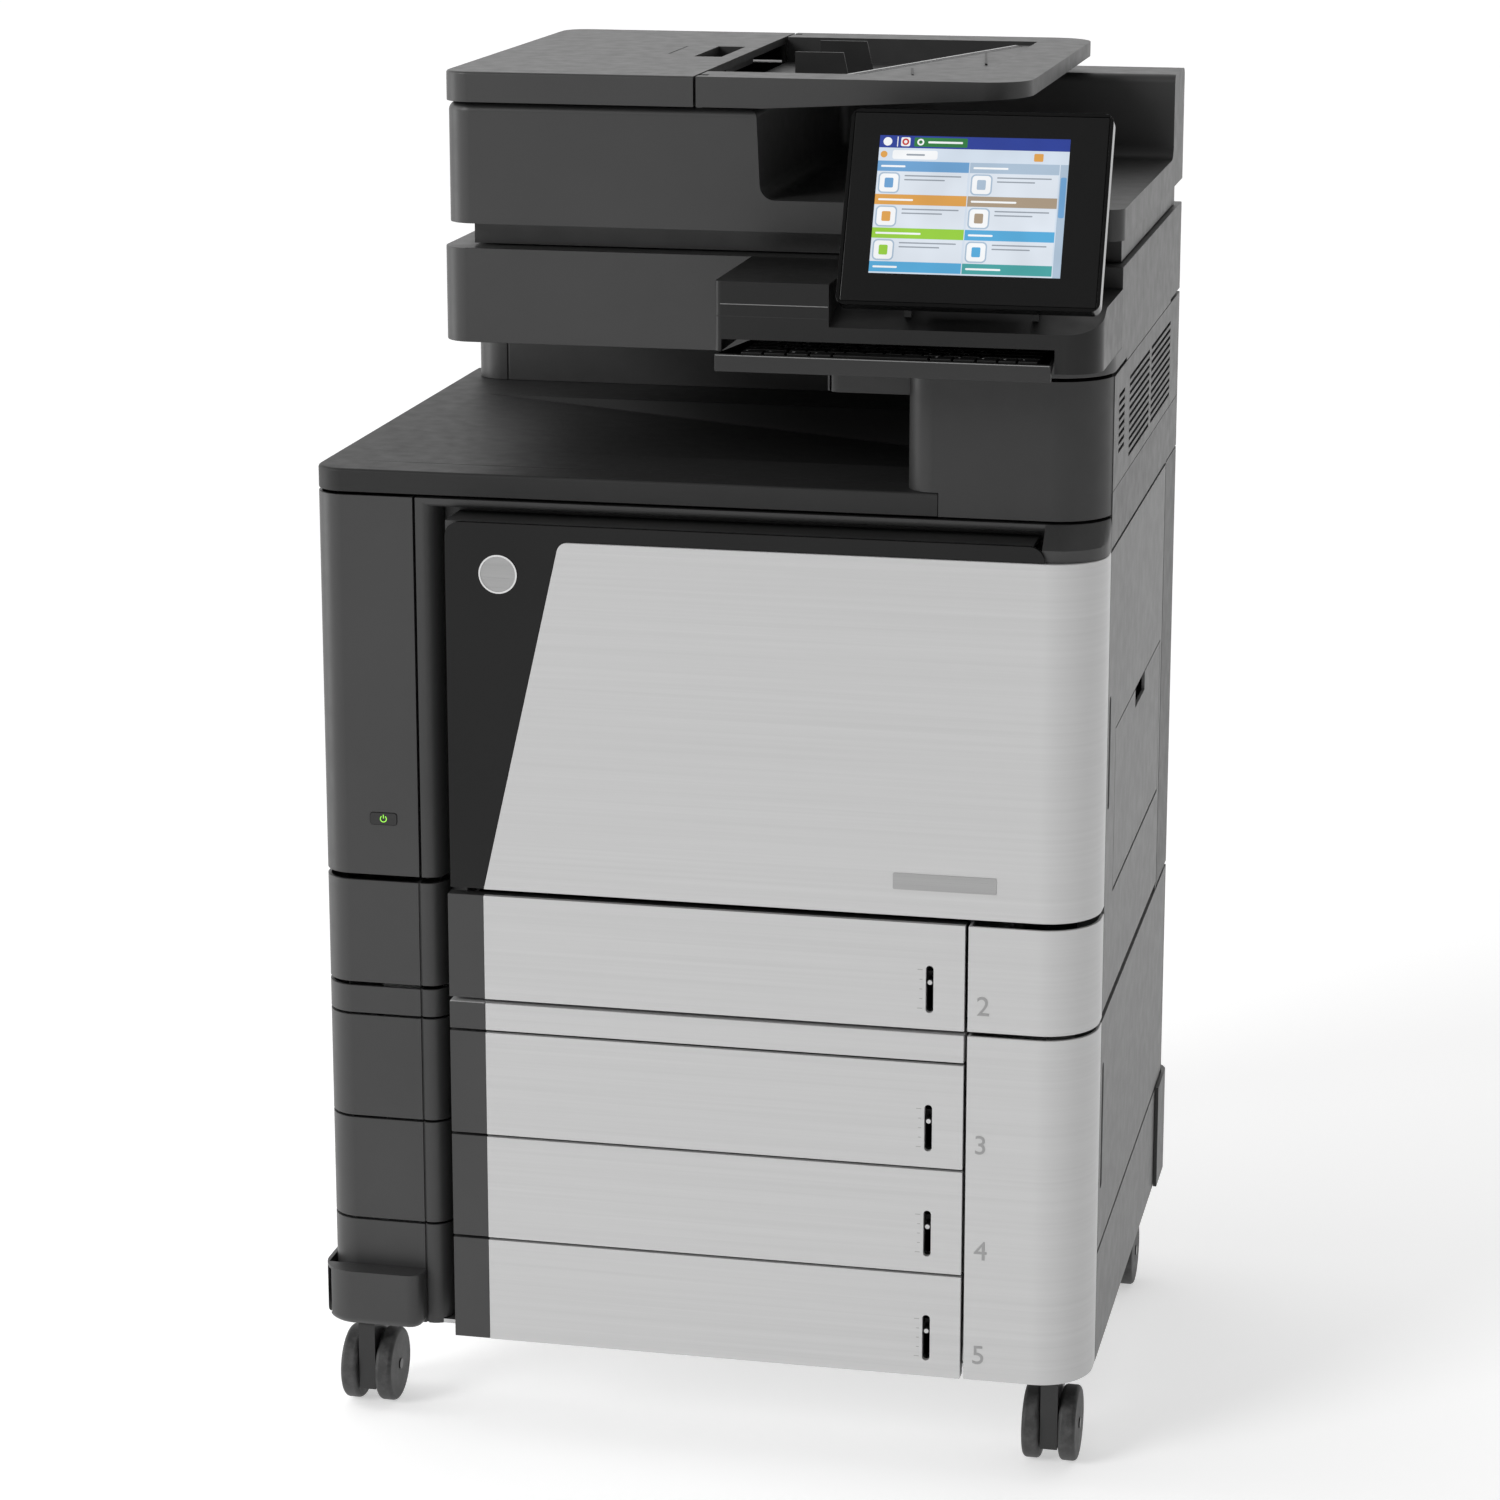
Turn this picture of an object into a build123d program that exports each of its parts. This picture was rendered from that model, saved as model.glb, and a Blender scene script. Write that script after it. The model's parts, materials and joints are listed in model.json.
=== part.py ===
from build123d import *
import os

# Floor-standing office photocopier, in millimetres.
# It is drawn with x = 0 midway across, y = 0 on the tray fronts (y grows to the rear), z = 0 on the floor.
# Every piece is moved by MID_DEPTH when it is written, so the origin is bottom centre of the whole object.

# Overall sizes
BODY_WIDTH = 722.0
BODY_REAR = 578.0
CABINET_BOTTOM = 100.0
FOOT_PROUD = 4.0
FOOT_REACH = 22.0
REAR_FOOT_REACH = 25.0
WALL = 3.0
SEAM = 3.0
FIT = 0.5

# Trays
TRAY_HEIGHT = 98.4
TRAY_GAP = 2.6
FILLER_HEIGHT = 26.0
MODULE_GAP = 4.0
TRAY_LEFT = -198.0
TRAY_RIGHT = 245.5
GRIP_LEFT = -232.0
FACE_THICK = 5.0
TRAY_WALL_REAR = 14.0
CASSETTE_LEFT = -219.0
CASSETTE_RIGHT = 231.0
CASSETTE_REAR = 520.0
RAIL_WIDTH = 8.0
GAUGE_X = 214.0
GAUGE_WIDTH = 7.0
GAUGE_LOW = 15.3
GAUGE_HIGH = 59.5
POINTER_REST = 43.4
POINTER_RADIUS = 2.6

# Front covers
COVER_FRONT = 25.0
COLUMN_RIGHT = -266.0
COLUMN_REAR = 95.0
COLUMN_RADIUS = 28.0
STRIP_RIGHT = -243.0
STRIP_RADIUS = 18.0
CHANNEL_FLOOR = 55.0
CORNER_LEFT = 248.5
CORNER_RADIUS = 50.0
CORNER_REAR = 65.0
SIDE_START = 66.5
FOOT_TOP = 154.0
REAR_FOOT_TOP = 207.0

# Front door
DOOR_BOTTOM = 537.5
DOOR_TOP = 893.0
GLOSS_LEFT = -229.5
GLOSS_TOP = 878.0
SILVER_TOP = 863.0
SILVER_TOP_LEFT = -124.0
DOOR_DEPTH = 54.0
DOOR_PIN_Y = 9.0
DOOR_PIN_Z = 546.5
PIN_RADIUS = 3.0
PIN_PLAY = 0.08
FLOOR_DROP = 3.5
LEDGE_RISE = 36.5
RAIL_FRONT = 70.0
SHELVES = (582.0, 652.0, 742.0)
STEM_RADIUS = 6.0

# Deck, exit tower and scanner
DECK_BOTTOM = 896.0
DECK_TOP = 917.0
DECK_RIGHT = 212.5
TOWER_LEFT = 183.0
TOWER_TOP = 1019.0
BIN_LEFT = -303.0
BIN_RIGHT = 204.0
BIN_FRONT = 139.0
BIN_REAR = 426.0
BIN_DROP = 38.0
BIN_DRAFT = 24.0
SCANNER_LEFT = -261.0
SCANNER_FRONT = 110.0
SCANNER_BOTTOM = 1022.0
SCANNER_TOP = 1108.0
PLATEN = (-185.0, 235.0, 180.0, 475.0)
PLATEN_LEDGE = 5.0
GLASS_THICK = 3.0
CARRIAGE_LENGTH = 40.0

# Control pod, display and keyboard
POD_LEFT = 28.0
POD_FRONT = -43.0
POD_STEP_X = 128.0
POD_STEP_Z = 1089.0
POD_FLOOR = 1058.0
POD_LEG_LEFT = 322.5
DISPLAY_WIDTH = 226.0
DISPLAY_HEIGHT = 175.0
DISPLAY_THICK = 18.0
DISPLAY_X = 248.0
DISPLAY_TILT = 25.4
DISPLAY_FRONT = -52.0
DISPLAY_LOW = 1093.0
HINGE_Y = -14.7
HINGE_Z = 1108.5
KEYBOARD = (29.6, 320.5, -51.0, 75.0)
KEYBOARD_LOW = 1031.0
KEYBOARD_HIGH = 1046.0
KEYBOARD_TAPER = (16.0, 8.0)

# Document feeder
FEEDER_LEFT = -255.0
FEEDER_FRONT = 105.0
LID_FRONT = 98.0
LID_REAR = 553.0
FEEDER_BOTTOM = 1131.0
FEEDER_TOP = 1239.5
LID_BOTTOM = 1241.0
LID_TOP = 1268.0
LID_RIGHT = -22.5
INPUT_LEFT = -20.0
INPUT_RIGHT = 276.0
RETURN_LEFT = 33.0
RETURN_FLOOR = 1159.0
BACK_WALL = 494.0
RIM = 50.0
FEEDER_PIN_Y = 568.0
FEEDER_PIN_Z = 1118.0
LID_PIN = (-254.5, 1244.0)
LID_HINGE_Y = (330.0, 500.0)
INPUT_HINGE_Y = (114.0, 537.0)
KNUCKLE_PIN = 1.2
SHELF_NEAR_X = 88.0
SHELF_FAR_X = 205.0
GUIDE_RIGHT = 88.0
GUIDE_PROUD = 8.0

# Casters
CASTER_X = (-333.0, 322.0)
CASTER_Y = (92.0, 528.0)
WHEEL_RADIUS = 35.0
WHEEL_WIDTH = 16.0
WHEEL_SPACING = 34.0
CASTER_TRAIL = 20.0
AXLE_RADIUS = 5.0

# Side doors
SIDE_DOOR_REAR = 488.0
FLAP = (126.0, 474.0, 537.0, 687.0)
SIDE_DOOR_DEPTH = 24.0

HALF = BODY_WIDTH / 2
FRAME_HALF = HALF - 16
FRAME_REAR = BODY_REAR - 15
TRAY_PITCH = TRAY_HEIGHT + TRAY_GAP
FILLER_BOTTOM = CABINET_BOTTOM + 3 * TRAY_PITCH
FILLER_TOP = FILLER_BOTTOM + FILLER_HEIGHT
ENGINE_BOTTOM = FILLER_TOP + MODULE_GAP
TRAY_BOTTOMS = {
    5: CABINET_BOTTOM,
    4: CABINET_BOTTOM + TRAY_PITCH,
    3: CABINET_BOTTOM + 2 * TRAY_PITCH,
    2: ENGINE_BOTTOM,
}
TRAY_2_TOP = ENGINE_BOTTOM + TRAY_HEIGHT
FRONT_MOST = DISPLAY_FRONT
REAR_MOST = BODY_REAR + REAR_FOOT_REACH
MID_DEPTH = (FRONT_MOST + REAR_MOST) / 2
BAY_LEFT = CASSETTE_LEFT - RAIL_WIDTH - 2.0
BAY_RIGHT = CASSETTE_RIGHT + RAIL_WIDTH + 2.0


def block(x0, x1, y0, y1, z0, z1):
    """A box between two opposite corners."""
    return Pos((x0 + x1) / 2, (y0 + y1) / 2, (z0 + z1) / 2) * Box(x1 - x0, y1 - y0, z1 - z0)


def rod(axis, length, radius, x, y, z):
    """A round bar centred on a point, lying along one axis."""
    turn = {"X": Rot(0, 90, 0), "Y": Rot(90, 0, 0), "Z": Rot(0, 0, 0)}[axis]
    return Pos(x, y, z) * turn * Cylinder(radius, length)


def round_upright(shape, radius, *corners):
    """Rounds the upright edges that stand at the given x, y corners."""
    edges = [
        edge
        for edge in shape.edges().filter_by(Axis.Z)
        for x, y in corners
        if abs(edge.center().X - x) < 0.1 and abs(edge.center().Y - y) < 0.1
    ]
    return fillet(edges, radius)


def round_along(shape, radius, axis, keep):
    """Rounds the edges along an axis whose centre passes a test."""
    return fillet([edge for edge in shape.edges().filter_by(axis) if keep(edge.center())], radius)


def upright_prism(points, z0, z1):
    """An outline in x, y pulled up from z0 to z1."""
    outline = Plane.XY.offset(z0) * make_face(Polyline(*points, close=True))
    return extrude(outline, z1 - z0)


def front_prism(points, y0, y1):
    """An outline in x, z pulled back from y0 to y1."""
    face = make_face(Polyline(*[(x, y0, z) for x, z in points], close=True))
    return extrude(face, y1 - y0, dir=(0, 1, 0))


def side_prism(points, x0, x1):
    """An outline in y, z pulled across from x0 to x1."""
    face = make_face(Polyline(*[(x0, y, z) for y, z in points], close=True))
    return extrude(face, x1 - x0, dir=(1, 0, 0))


def write(name, *shapes):
    """Writes one node, moved so that the origin is bottom centre of the whole object."""
    solids = [solid for shape in shapes for solid in shape.solids()]
    moved = [Pos(0, -MID_DEPTH, 0) * solid for solid in solids]
    export_step(moved[0] if len(moved) == 1 else Compound(children=moved), f"parts/{name}.step")


# ---------------------------------------------------------------- frames and fixed covers


def bay_wall(side, front, z0, z1, trays):
    """One side panel of a tray bay with the ledges that carry its cassettes."""
    x0, x1 = (BAY_LEFT - WALL, BAY_LEFT) if side == "left" else (BAY_RIGHT, BAY_RIGHT + WALL)
    wall = block(x0, x1, front, FRAME_REAR - WALL, z0, z1)
    r0, r1 = (BAY_LEFT - 1, CASSETTE_LEFT - FIT) if side == "left" else (CASSETTE_RIGHT + FIT, BAY_RIGHT + 1)
    for tray in trays:
        z = TRAY_BOTTOMS[tray] + LEDGE_RISE
        wall += block(r0, r1, RAIL_FRONT, CASSETTE_REAR, z, z + WALL)
    return wall


def base_frame():
    """Cabinet frame of sheet panels: floor with caster bosses, bay walls, left closing plate, back and top."""
    low, top = CABINET_BOTTOM, ENGINE_BOTTOM - FLOOR_DROP
    rear = FRAME_REAR
    floor = block(-FRAME_HALF, FRAME_HALF, 28, rear, low, low + 4)
    bosses = []
    for x in CASTER_X:
        for y in CASTER_Y:
            bore = rod("Z", 60, STEM_RADIUS + PIN_PLAY, x, y, low)
            floor -= bore
            bosses.append(rod("Z", 10, 16, x, y, low + 9) - bore)
    walls = [
        bay_wall("left", 60, low + 4, top - WALL, (3, 4, 5)),
        bay_wall("right", 30, low + 4, top - WALL, (3, 4, 5)),
    ]
    closing = block(-FRAME_HALF + 20, BAY_LEFT - WALL, COLUMN_REAR + 2, COLUMN_REAR + 5, low + 14, top - WALL)
    back = block(-FRAME_HALF, HALF - 40, rear - WALL, rear, low + 4, top)
    cover = block(BAY_LEFT - WALL, BAY_RIGHT + WALL, 60, rear - WALL, top - WALL, top)
    return [floor, *bosses, *walls, closing, back, cover]


def engine_frame():
    """Upper frame of sheet panels: floor, tray 2 bay, shelves for the print units, side walls, back, top."""
    low = ENGINE_BOTTOM - FLOOR_DROP
    rear = FRAME_REAR
    top = DECK_TOP - BIN_DROP - 10
    shelf = DOOR_BOTTOM + 2
    left, right = -247.0, 248.0
    floor = block(-FRAME_HALF, HALF - 40, 62, rear - WALL, low, low + WALL)
    walls = [bay_wall(side, 62, low + WALL, shelf, (2,)) for side in ("left", "right")]
    plates = [block(left - WALL, right + WALL, 72, rear - WALL, shelf, shelf + WALL)]
    for x in (left - WALL, right):
        plates.append(block(x, x + WALL, 75, rear - WALL, shelf + WALL, top - WALL))
    plates.append(block(left - WALL, right + WALL, rear - WALL, rear, low, top))
    plates.append(block(left - WALL, right + WALL, 75, rear - WALL, top - WALL, top))
    plates += [block(left, right, 78, 480, z, z + WALL) for z in SHELVES]
    return [floor, *walls, *plates, *door_arms()]


def column_section(z0, z1, strip):
    """One hollow section of the left front column, with the curved strip beside it or without."""
    outer = block(-HALF, COLUMN_RIGHT, COVER_FRONT, COLUMN_REAR, z0, z1)
    outer = round_upright(outer, COLUMN_RADIUS, (-HALF, COVER_FRONT))
    inner = block(-HALF + WALL, COLUMN_RIGHT - WALL, COVER_FRONT + WALL, COLUMN_REAR + 1, z0 - 1, z1 + 1)
    inner = round_upright(inner, COLUMN_RADIUS - WALL, (-HALF + WALL, COVER_FRONT + WALL))
    section = outer - inner
    if strip:
        section += curved_strip(z0, z1, COLUMN_RIGHT - 1)
        section += block(STRIP_RIGHT - 1, BAY_LEFT, CHANNEL_FLOOR, CHANNEL_FLOOR + WALL, z0, z1)
        section -= block(COLUMN_RIGHT - 1, COLUMN_RIGHT + 1.2, COVER_FRONT - 1, COVER_FRONT + 2, z0 - 1, z1 + 1)
    return section


def curved_strip(z0, z1, left):
    """Upright strip that turns back into the finger channel."""
    strip = block(left, STRIP_RIGHT, COVER_FRONT, CHANNEL_FLOOR + WALL, z0, z1)
    strip = round_upright(strip, STRIP_RADIUS, (STRIP_RIGHT, COVER_FRONT))
    hollow = block(left - 1, STRIP_RIGHT - WALL, COVER_FRONT + WALL, CHANNEL_FLOOR + WALL + 1, z0 - 1, z1 + 1)
    hollow = round_upright(hollow, STRIP_RADIUS - WALL, (STRIP_RIGHT - WALL, COVER_FRONT + WALL))
    return strip - hollow


BUTTON = (-299.0, 591.3, 26.0, 12.0)


def left_column_upper():
    """Tall column cover beside the front door, with the power button's hole."""
    column = column_section(DOOR_BOTTOM, DOOR_TOP, False)
    x, z, width, height = BUTTON
    hole = block(x - width / 2, x + width / 2, COVER_FRONT - 1, COVER_FRONT + WALL + 1, z - height / 2, z + height / 2)
    hole = round_along(hole, 3, Axis.Y, lambda c: True)
    return column - hole


def left_column_lower():
    """Column covers beside tray 2, the filler strip and trays 3 to 5."""
    spans = [(ENGINE_BOTTOM, TRAY_2_TOP), (FILLER_BOTTOM, FILLER_TOP)]
    spans += [(TRAY_BOTTOMS[tray], TRAY_BOTTOMS[tray] + TRAY_HEIGHT) for tray in (3, 4)]
    sections = [column_section(z0, z1, True) for z0, z1 in spans]
    lowest = column_section(CABINET_BOTTOM, CABINET_BOTTOM + TRAY_HEIGHT, True)
    lowest -= block(-HALF - 1, COLUMN_RIGHT - WALL - 6, COVER_FRONT - 1, COLUMN_REAR + 1, 0, CABINET_BOTTOM + 5)
    lowest -= block(-HALF - 1, STRIP_RIGHT + 99, COVER_FRONT + WALL, COLUMN_REAR + 1, 0, CABINET_BOTTOM + 5)
    sections.append(lowest)
    return sections


def right_corner_covers():
    """Silver corner covers beside tray 2 and beside trays 3 to 5."""
    covers = []
    for z0, z1 in ((CABINET_BOTTOM, FILLER_TOP), (ENGINE_BOTTOM, TRAY_2_TOP)):
        outer = block(CORNER_LEFT, HALF, 0, CORNER_REAR, z0, z1)
        outer = round_upright(outer, CORNER_RADIUS, (HALF, 0))
        inner = block(CORNER_LEFT + WALL, HALF - WALL, WALL, CORNER_REAR + 1, z0 - 1, z1 + 1)
        inner = round_upright(inner, CORNER_RADIUS - WALL, (HALF - WALL, WALL))
        cover = outer - inner
        cover -= block(CORNER_LEFT - 1, CORNER_LEFT + WALL + 1, 18, CORNER_REAR + 1, z0 - 1, z1 + 1)
        covers.append(cover)
    return covers


def filler_strip():
    """Fixed strip between tray 2 and tray 3, with its dark left end."""
    z0, z1 = FILLER_BOTTOM, FILLER_TOP
    silver = block(TRAY_LEFT, TRAY_RIGHT, 0, FACE_THICK, z0, z1)
    backing = block(GRIP_LEFT, TRAY_RIGHT, FACE_THICK, TRAY_WALL_REAR, z0, z1)
    backing += block(GRIP_LEFT, TRAY_LEFT - FIT, 1, TRAY_WALL_REAR, z0, z1)
    backing += block(-150, -130, TRAY_WALL_REAR, 61, z0 + 6, z0 + 20)
    backing += block(150, 170, TRAY_WALL_REAR, 61, z0 + 6, z0 + 20)
    return silver, backing


def foot_covers():
    """Caps round the cabinet's feet: front left, rear left and rear right."""
    low, top = CABINET_BOTTOM, FOOT_TOP
    left, right = -HALF - FOOT_PROUD, COLUMN_RIGHT
    front = COVER_FRONT - FOOT_REACH
    cap = block(left, right, front, COLUMN_REAR, low, top)
    cap = round_upright(cap, COLUMN_RADIUS + 4, (left, front))
    cap = round_upright(cap, 14, (right, front))
    cap = fillet([e for e in cap.edges() if abs(e.center().Z - low) < 0.01 and e.center().Y < front + 30], 9)
    cap -= block(left + WALL, right - WALL, COVER_FRONT - 12, COVER_FRONT, low + WALL, top - WALL)
    cap -= block(-HALF - 0.5, right + 1, COVER_FRONT - 0.5, COLUMN_REAR + 1, low - 1, top + 1)
    feet = [cap]
    for side in (-1, 1):
        foot = block(-HALF - FOOT_PROUD, -HALF + 60, BODY_REAR - 55, REAR_MOST, low, REAR_FOOT_TOP)
        foot = round_upright(foot, 22, (-HALF - FOOT_PROUD, REAR_MOST))
        foot -= block(-HALF - 0.5, -HALF + 61, BODY_REAR - 56, BODY_REAR + 0.5, low - 1, REAR_FOOT_TOP + 1)
        foot -= block(-HALF + 10, -HALF + 50, BODY_REAR, REAR_MOST - 4, low - 1, REAR_FOOT_TOP - 4)
        feet.append(foot if side < 0 else foot.mirror(Plane.YZ))
    return feet


def left_side_panel():
    """Flat engine cover on the left side."""
    return block(-HALF, -HALF + WALL, COLUMN_REAR + 2, BODY_REAR - WALL - FIT, ENGINE_BOTTOM, DOOR_TOP)


def lower_cabinet_panels():
    """Cabinet cover: left side, back, and the low strip under the right door."""
    low, top = CABINET_BOTTOM, FILLER_TOP
    panel = block(-HALF, -HALF + WALL, COLUMN_REAR + 2, BODY_REAR, low, top)
    panel += block(-HALF, HALF, BODY_REAR - WALL, BODY_REAR, low, top)
    panel += block(HALF - WALL, HALF, SIDE_START, BODY_REAR, low, REAR_FOOT_TOP - 2)
    return panel


SOCKET = (-150.0, 470.0)


def rear_cover():
    """Engine's back cover that turns round the right rear corner, with slots and the power socket."""
    cover = block(-HALF, HALF, BODY_REAR - WALL, BODY_REAR, ENGINE_BOTTOM, DOOR_TOP)
    cover += block(HALF - WALL, HALF, SIDE_DOOR_REAR + SEAM, BODY_REAR, ENGINE_BOTTOM, SILVER_TOP)
    cover -= block(HALF - WALL - 9, HALF + 1, BODY_REAR - WALL - 1, BODY_REAR + 1, SILVER_TOP, DOOR_TOP + 1)
    slot = block(-50, 50, BODY_REAR - WALL - 1, BODY_REAR + 1, -2, 2)
    for x in (-180.0, 120.0):
        for row in range(9):
            cover -= Pos(x, 0, 640 + 14 * row) * slot
    x, z = SOCKET
    cover -= block(x - 26, x + 26, BODY_REAR - WALL - 1, BODY_REAR + 1, z - 16, z + 16)
    socket = block(x - 25.8, x + 25.8, BODY_REAR - 14.9, BODY_REAR - 0.5, z - 15.8, z + 15.8)
    socket -= block(x - 14, x + 14, BODY_REAR - 12, BODY_REAR, z - 10, z + 10)
    for dx in (-7, 0, 7):
        socket += block(x + dx - 1.2, x + dx + 1.2, BODY_REAR - 12.5, BODY_REAR - 6, z - 3, z + 3)
    return cover, socket


def inner_cover():
    """Plate behind the front door with openings round the cartridges and drums."""
    plate = block(-246, 247, 70, 73, DOOR_PIN_Z + 5, DECK_TOP - BIN_DROP - 14)
    for x in UNIT_X:
        plate -= block(x - 51, x + 51, 69, 74, 744, 842)
        plate -= block(x - 51, x + 51, 69, 74, 654, 722)
    return plate


UNIT_X = (-168.0, -56.0, 56.0, 168.0)


def toner_cartridges():
    """Four toner cartridges side by side, each with a pull tab."""
    cartridges = []
    for x in UNIT_X:
        body = block(x - 49, x + 49, 64, 440, 745, 840)
        body = round_along(body, 20, Axis.Y, lambda c: c.Z > 800)
        body += block(x - 22, x + 22, 57, 64, 770, 800)
        cartridges.append(body)
    return cartridges


def drum_units():
    """Four image drum units below the cartridges."""
    units = []
    for x in UNIT_X:
        body = block(x - 49, x + 49, 66, 440, 655, 700)
        body += block(x - 30, x + 30, 66, 440, 700, 716)
        body += block(x - 10, x + 10, 59, 66, 668, 690)
        units.append(body)
    return units


def transfer_belt_unit():
    """Belt unit below the drums: a flat loop over two rollers."""
    left, right, low, high = -225.0, 230.0, 585.0, 635.0
    loop = block(left, right, 90, 440, low, high)
    loop = round_along(loop, 24, Axis.Y, lambda c: True)
    inner = block(left + 2, right - 2, 89, 441, low + 2, high - 2)
    inner = round_along(inner, 22, Axis.Y, lambda c: True)
    rollers = [rod("Y", 350, 21.9, x, 265, (low + high) / 2) for x in (left + 24, right - 24)]
    return [loop - inner] + rollers


def fuser_unit():
    """Fuser beside the upper right door, with its two rollers showing through a slot."""
    case = block(256, 322, 90, 470, 735, 855)
    case -= block(290, 330, 110, 450, 770, 820)
    heat = rod("Y", 338, 12, 306, 280, 782.5)
    press = rod("Y", 338, 12, 306, 280, 807.2)
    return case, heat, press


# ---------------------------------------------------------------- deck, exit tower, rear wall


def bin_wedge(margin, lift):
    """The output bin's space: level at its left end, deepest at its right end, with leaning sides."""
    x0, x1 = BIN_LEFT - margin * 2, BIN_RIGHT + margin
    y0, y1 = BIN_FRONT - margin, BIN_REAR + margin
    top, low = DECK_TOP + lift, DECK_TOP - BIN_DROP - margin
    ramp = front_prism([(x0, top), (x1, top), (x1, low)], y0, y1)
    trough = side_prism([(y0, top), (y1, top), (y1 - BIN_DRAFT, low), (y0 + BIN_DRAFT, low)], x0, x1)
    return ramp & trough


def output_deck():
    """Top cover with the rounded lip and the sloping output bin."""
    deck = block(-HALF, DECK_RIGHT, COVER_FRONT, BODY_REAR, DECK_BOTTOM, DECK_TOP)
    deck = round_upright(deck, COLUMN_RADIUS, (-HALF, COVER_FRONT))
    rim = [e for e in deck.edges() if abs(e.center().Z - DECK_TOP) < 0.01 and e.center().Y < COLUMN_REAR]
    deck = fillet(rim, 3)
    hollow = block(-HALF + WALL, DECK_RIGHT - WALL, COVER_FRONT + WALL, BODY_REAR - WALL, 0, DECK_TOP - WALL)
    hollow = round_upright(hollow, COLUMN_RADIUS - WALL, (-HALF + WALL, COVER_FRONT + WALL))
    return (deck - hollow) + bin_wedge(WALL, -0.5) - bin_wedge(0, 0.5)


def exit_tower():
    """Right front pillar, right band, top plate and the wall that the sheets come out of."""
    left, right, rear = TOWER_LEFT, HALF, BODY_REAR
    outer = block(left, right, COVER_FRONT, rear, DECK_BOTTOM, TOWER_TOP)
    outer = round_upright(outer, 25, (left, COVER_FRONT))
    outer = round_upright(outer, CORNER_RADIUS, (right, COVER_FRONT))
    inner = block(left + WALL, right - WALL, COVER_FRONT + WALL, rear - WALL, 0, TOWER_TOP - WALL)
    inner = round_upright(inner, 22, (left + WALL, COVER_FRONT + WALL))
    inner = round_upright(inner, CORNER_RADIUS - WALL, (right - WALL, COVER_FRONT + WALL))
    tower = outer - inner
    tower -= block(right - WALL - 0.2, right + 1, SIDE_START, rear - WALL, DECK_TOP - 1.5, TOWER_TOP + 1)
    tower -= block(left - 1, DECK_RIGHT + FIT, 0, rear + 1, 0, DECK_TOP + 0.3)
    tower += block(right - WALL, right, SIDE_START, rear, SILVER_TOP + 1.5, DECK_TOP - 1.5)
    tower -= block(left - 1, left + WALL + 1, 110, 480, 952, 976)
    hood = block(105, left + 1, 60, 500, TOWER_TOP - 22, TOWER_TOP)
    hood = round_upright(hood, 14, (105, 60))
    hood -= block(108, left - WALL, 63, 497, 0, TOWER_TOP - WALL)
    return tower + hood


ROLLER_X = 194.0
ROLLER_Z = 964.0
ROLLER_SHAFT = 3.0
BEARING_Y = (103.0, 487.0)


def exit_bearings():
    """Two bored blocks on the tower's inner face that carry the exit roller shaft."""
    blocks = []
    for y in BEARING_Y:
        bearing = block(TOWER_LEFT + WALL - 0.5, ROLLER_X + 8, y - 3, y + 3, ROLLER_Z - 8, ROLLER_Z + 8)
        blocks.append(bearing - rod("Y", 8, ROLLER_SHAFT + PIN_PLAY, ROLLER_X, y, ROLLER_Z))
    return blocks


def exit_roller():
    """Driven exit shaft with four rubber rollers, seen through the exit slot."""
    middle = sum(BEARING_Y) / 2
    roller = rod("Y", BEARING_Y[1] - BEARING_Y[0] + 6, ROLLER_SHAFT, ROLLER_X, middle, ROLLER_Z)
    for y in (-130.0, -45.0, 45.0, 130.0):
        roller += rod("Y", 24, 9, ROLLER_X, middle + y, ROLLER_Z)
    return roller


def rear_wall():
    """Hollow wall behind the output bin that carries the scanner's rear."""
    left, right = -345.0, TOWER_LEFT - FIT
    outer = block(left, right, 512, BODY_REAR, DECK_TOP + 0.3, TOWER_TOP)
    outer = round_upright(outer, 28, (left, 512), (left, BODY_REAR))
    inner = block(left + WALL, right - WALL, 512 + WALL, BODY_REAR - WALL, 0, TOWER_TOP - WALL)
    inner = round_upright(inner, 25, (left + WALL, 512 + WALL), (left + WALL, BODY_REAR - WALL))
    groove = block(-310.5, -308.5, 511, 513.2, DECK_TOP, TOWER_TOP + 1)
    return outer - inner - groove


VENTS = ((100.0, 141.0, 946.0, 8), (177.0, 330.0, 929.0, 11), (345.0, 503.0, 929.0, 11))


def vent_panel():
    """Louvred cover on the right side, above the dark band."""
    panel = block(HALF - WALL, HALF, SIDE_START, BODY_REAR - WALL - FIT, DECK_TOP - 1, TOWER_TOP - FIT)
    for y0, y1, z, count in VENTS:
        for row in range(count):
            panel -= block(HALF - WALL - 1, HALF + 1, y0, y1, z + 7 * row - 1.7, z + 7 * row + 1.7)
    return panel


# ---------------------------------------------------------------- scanner and control pod


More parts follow.
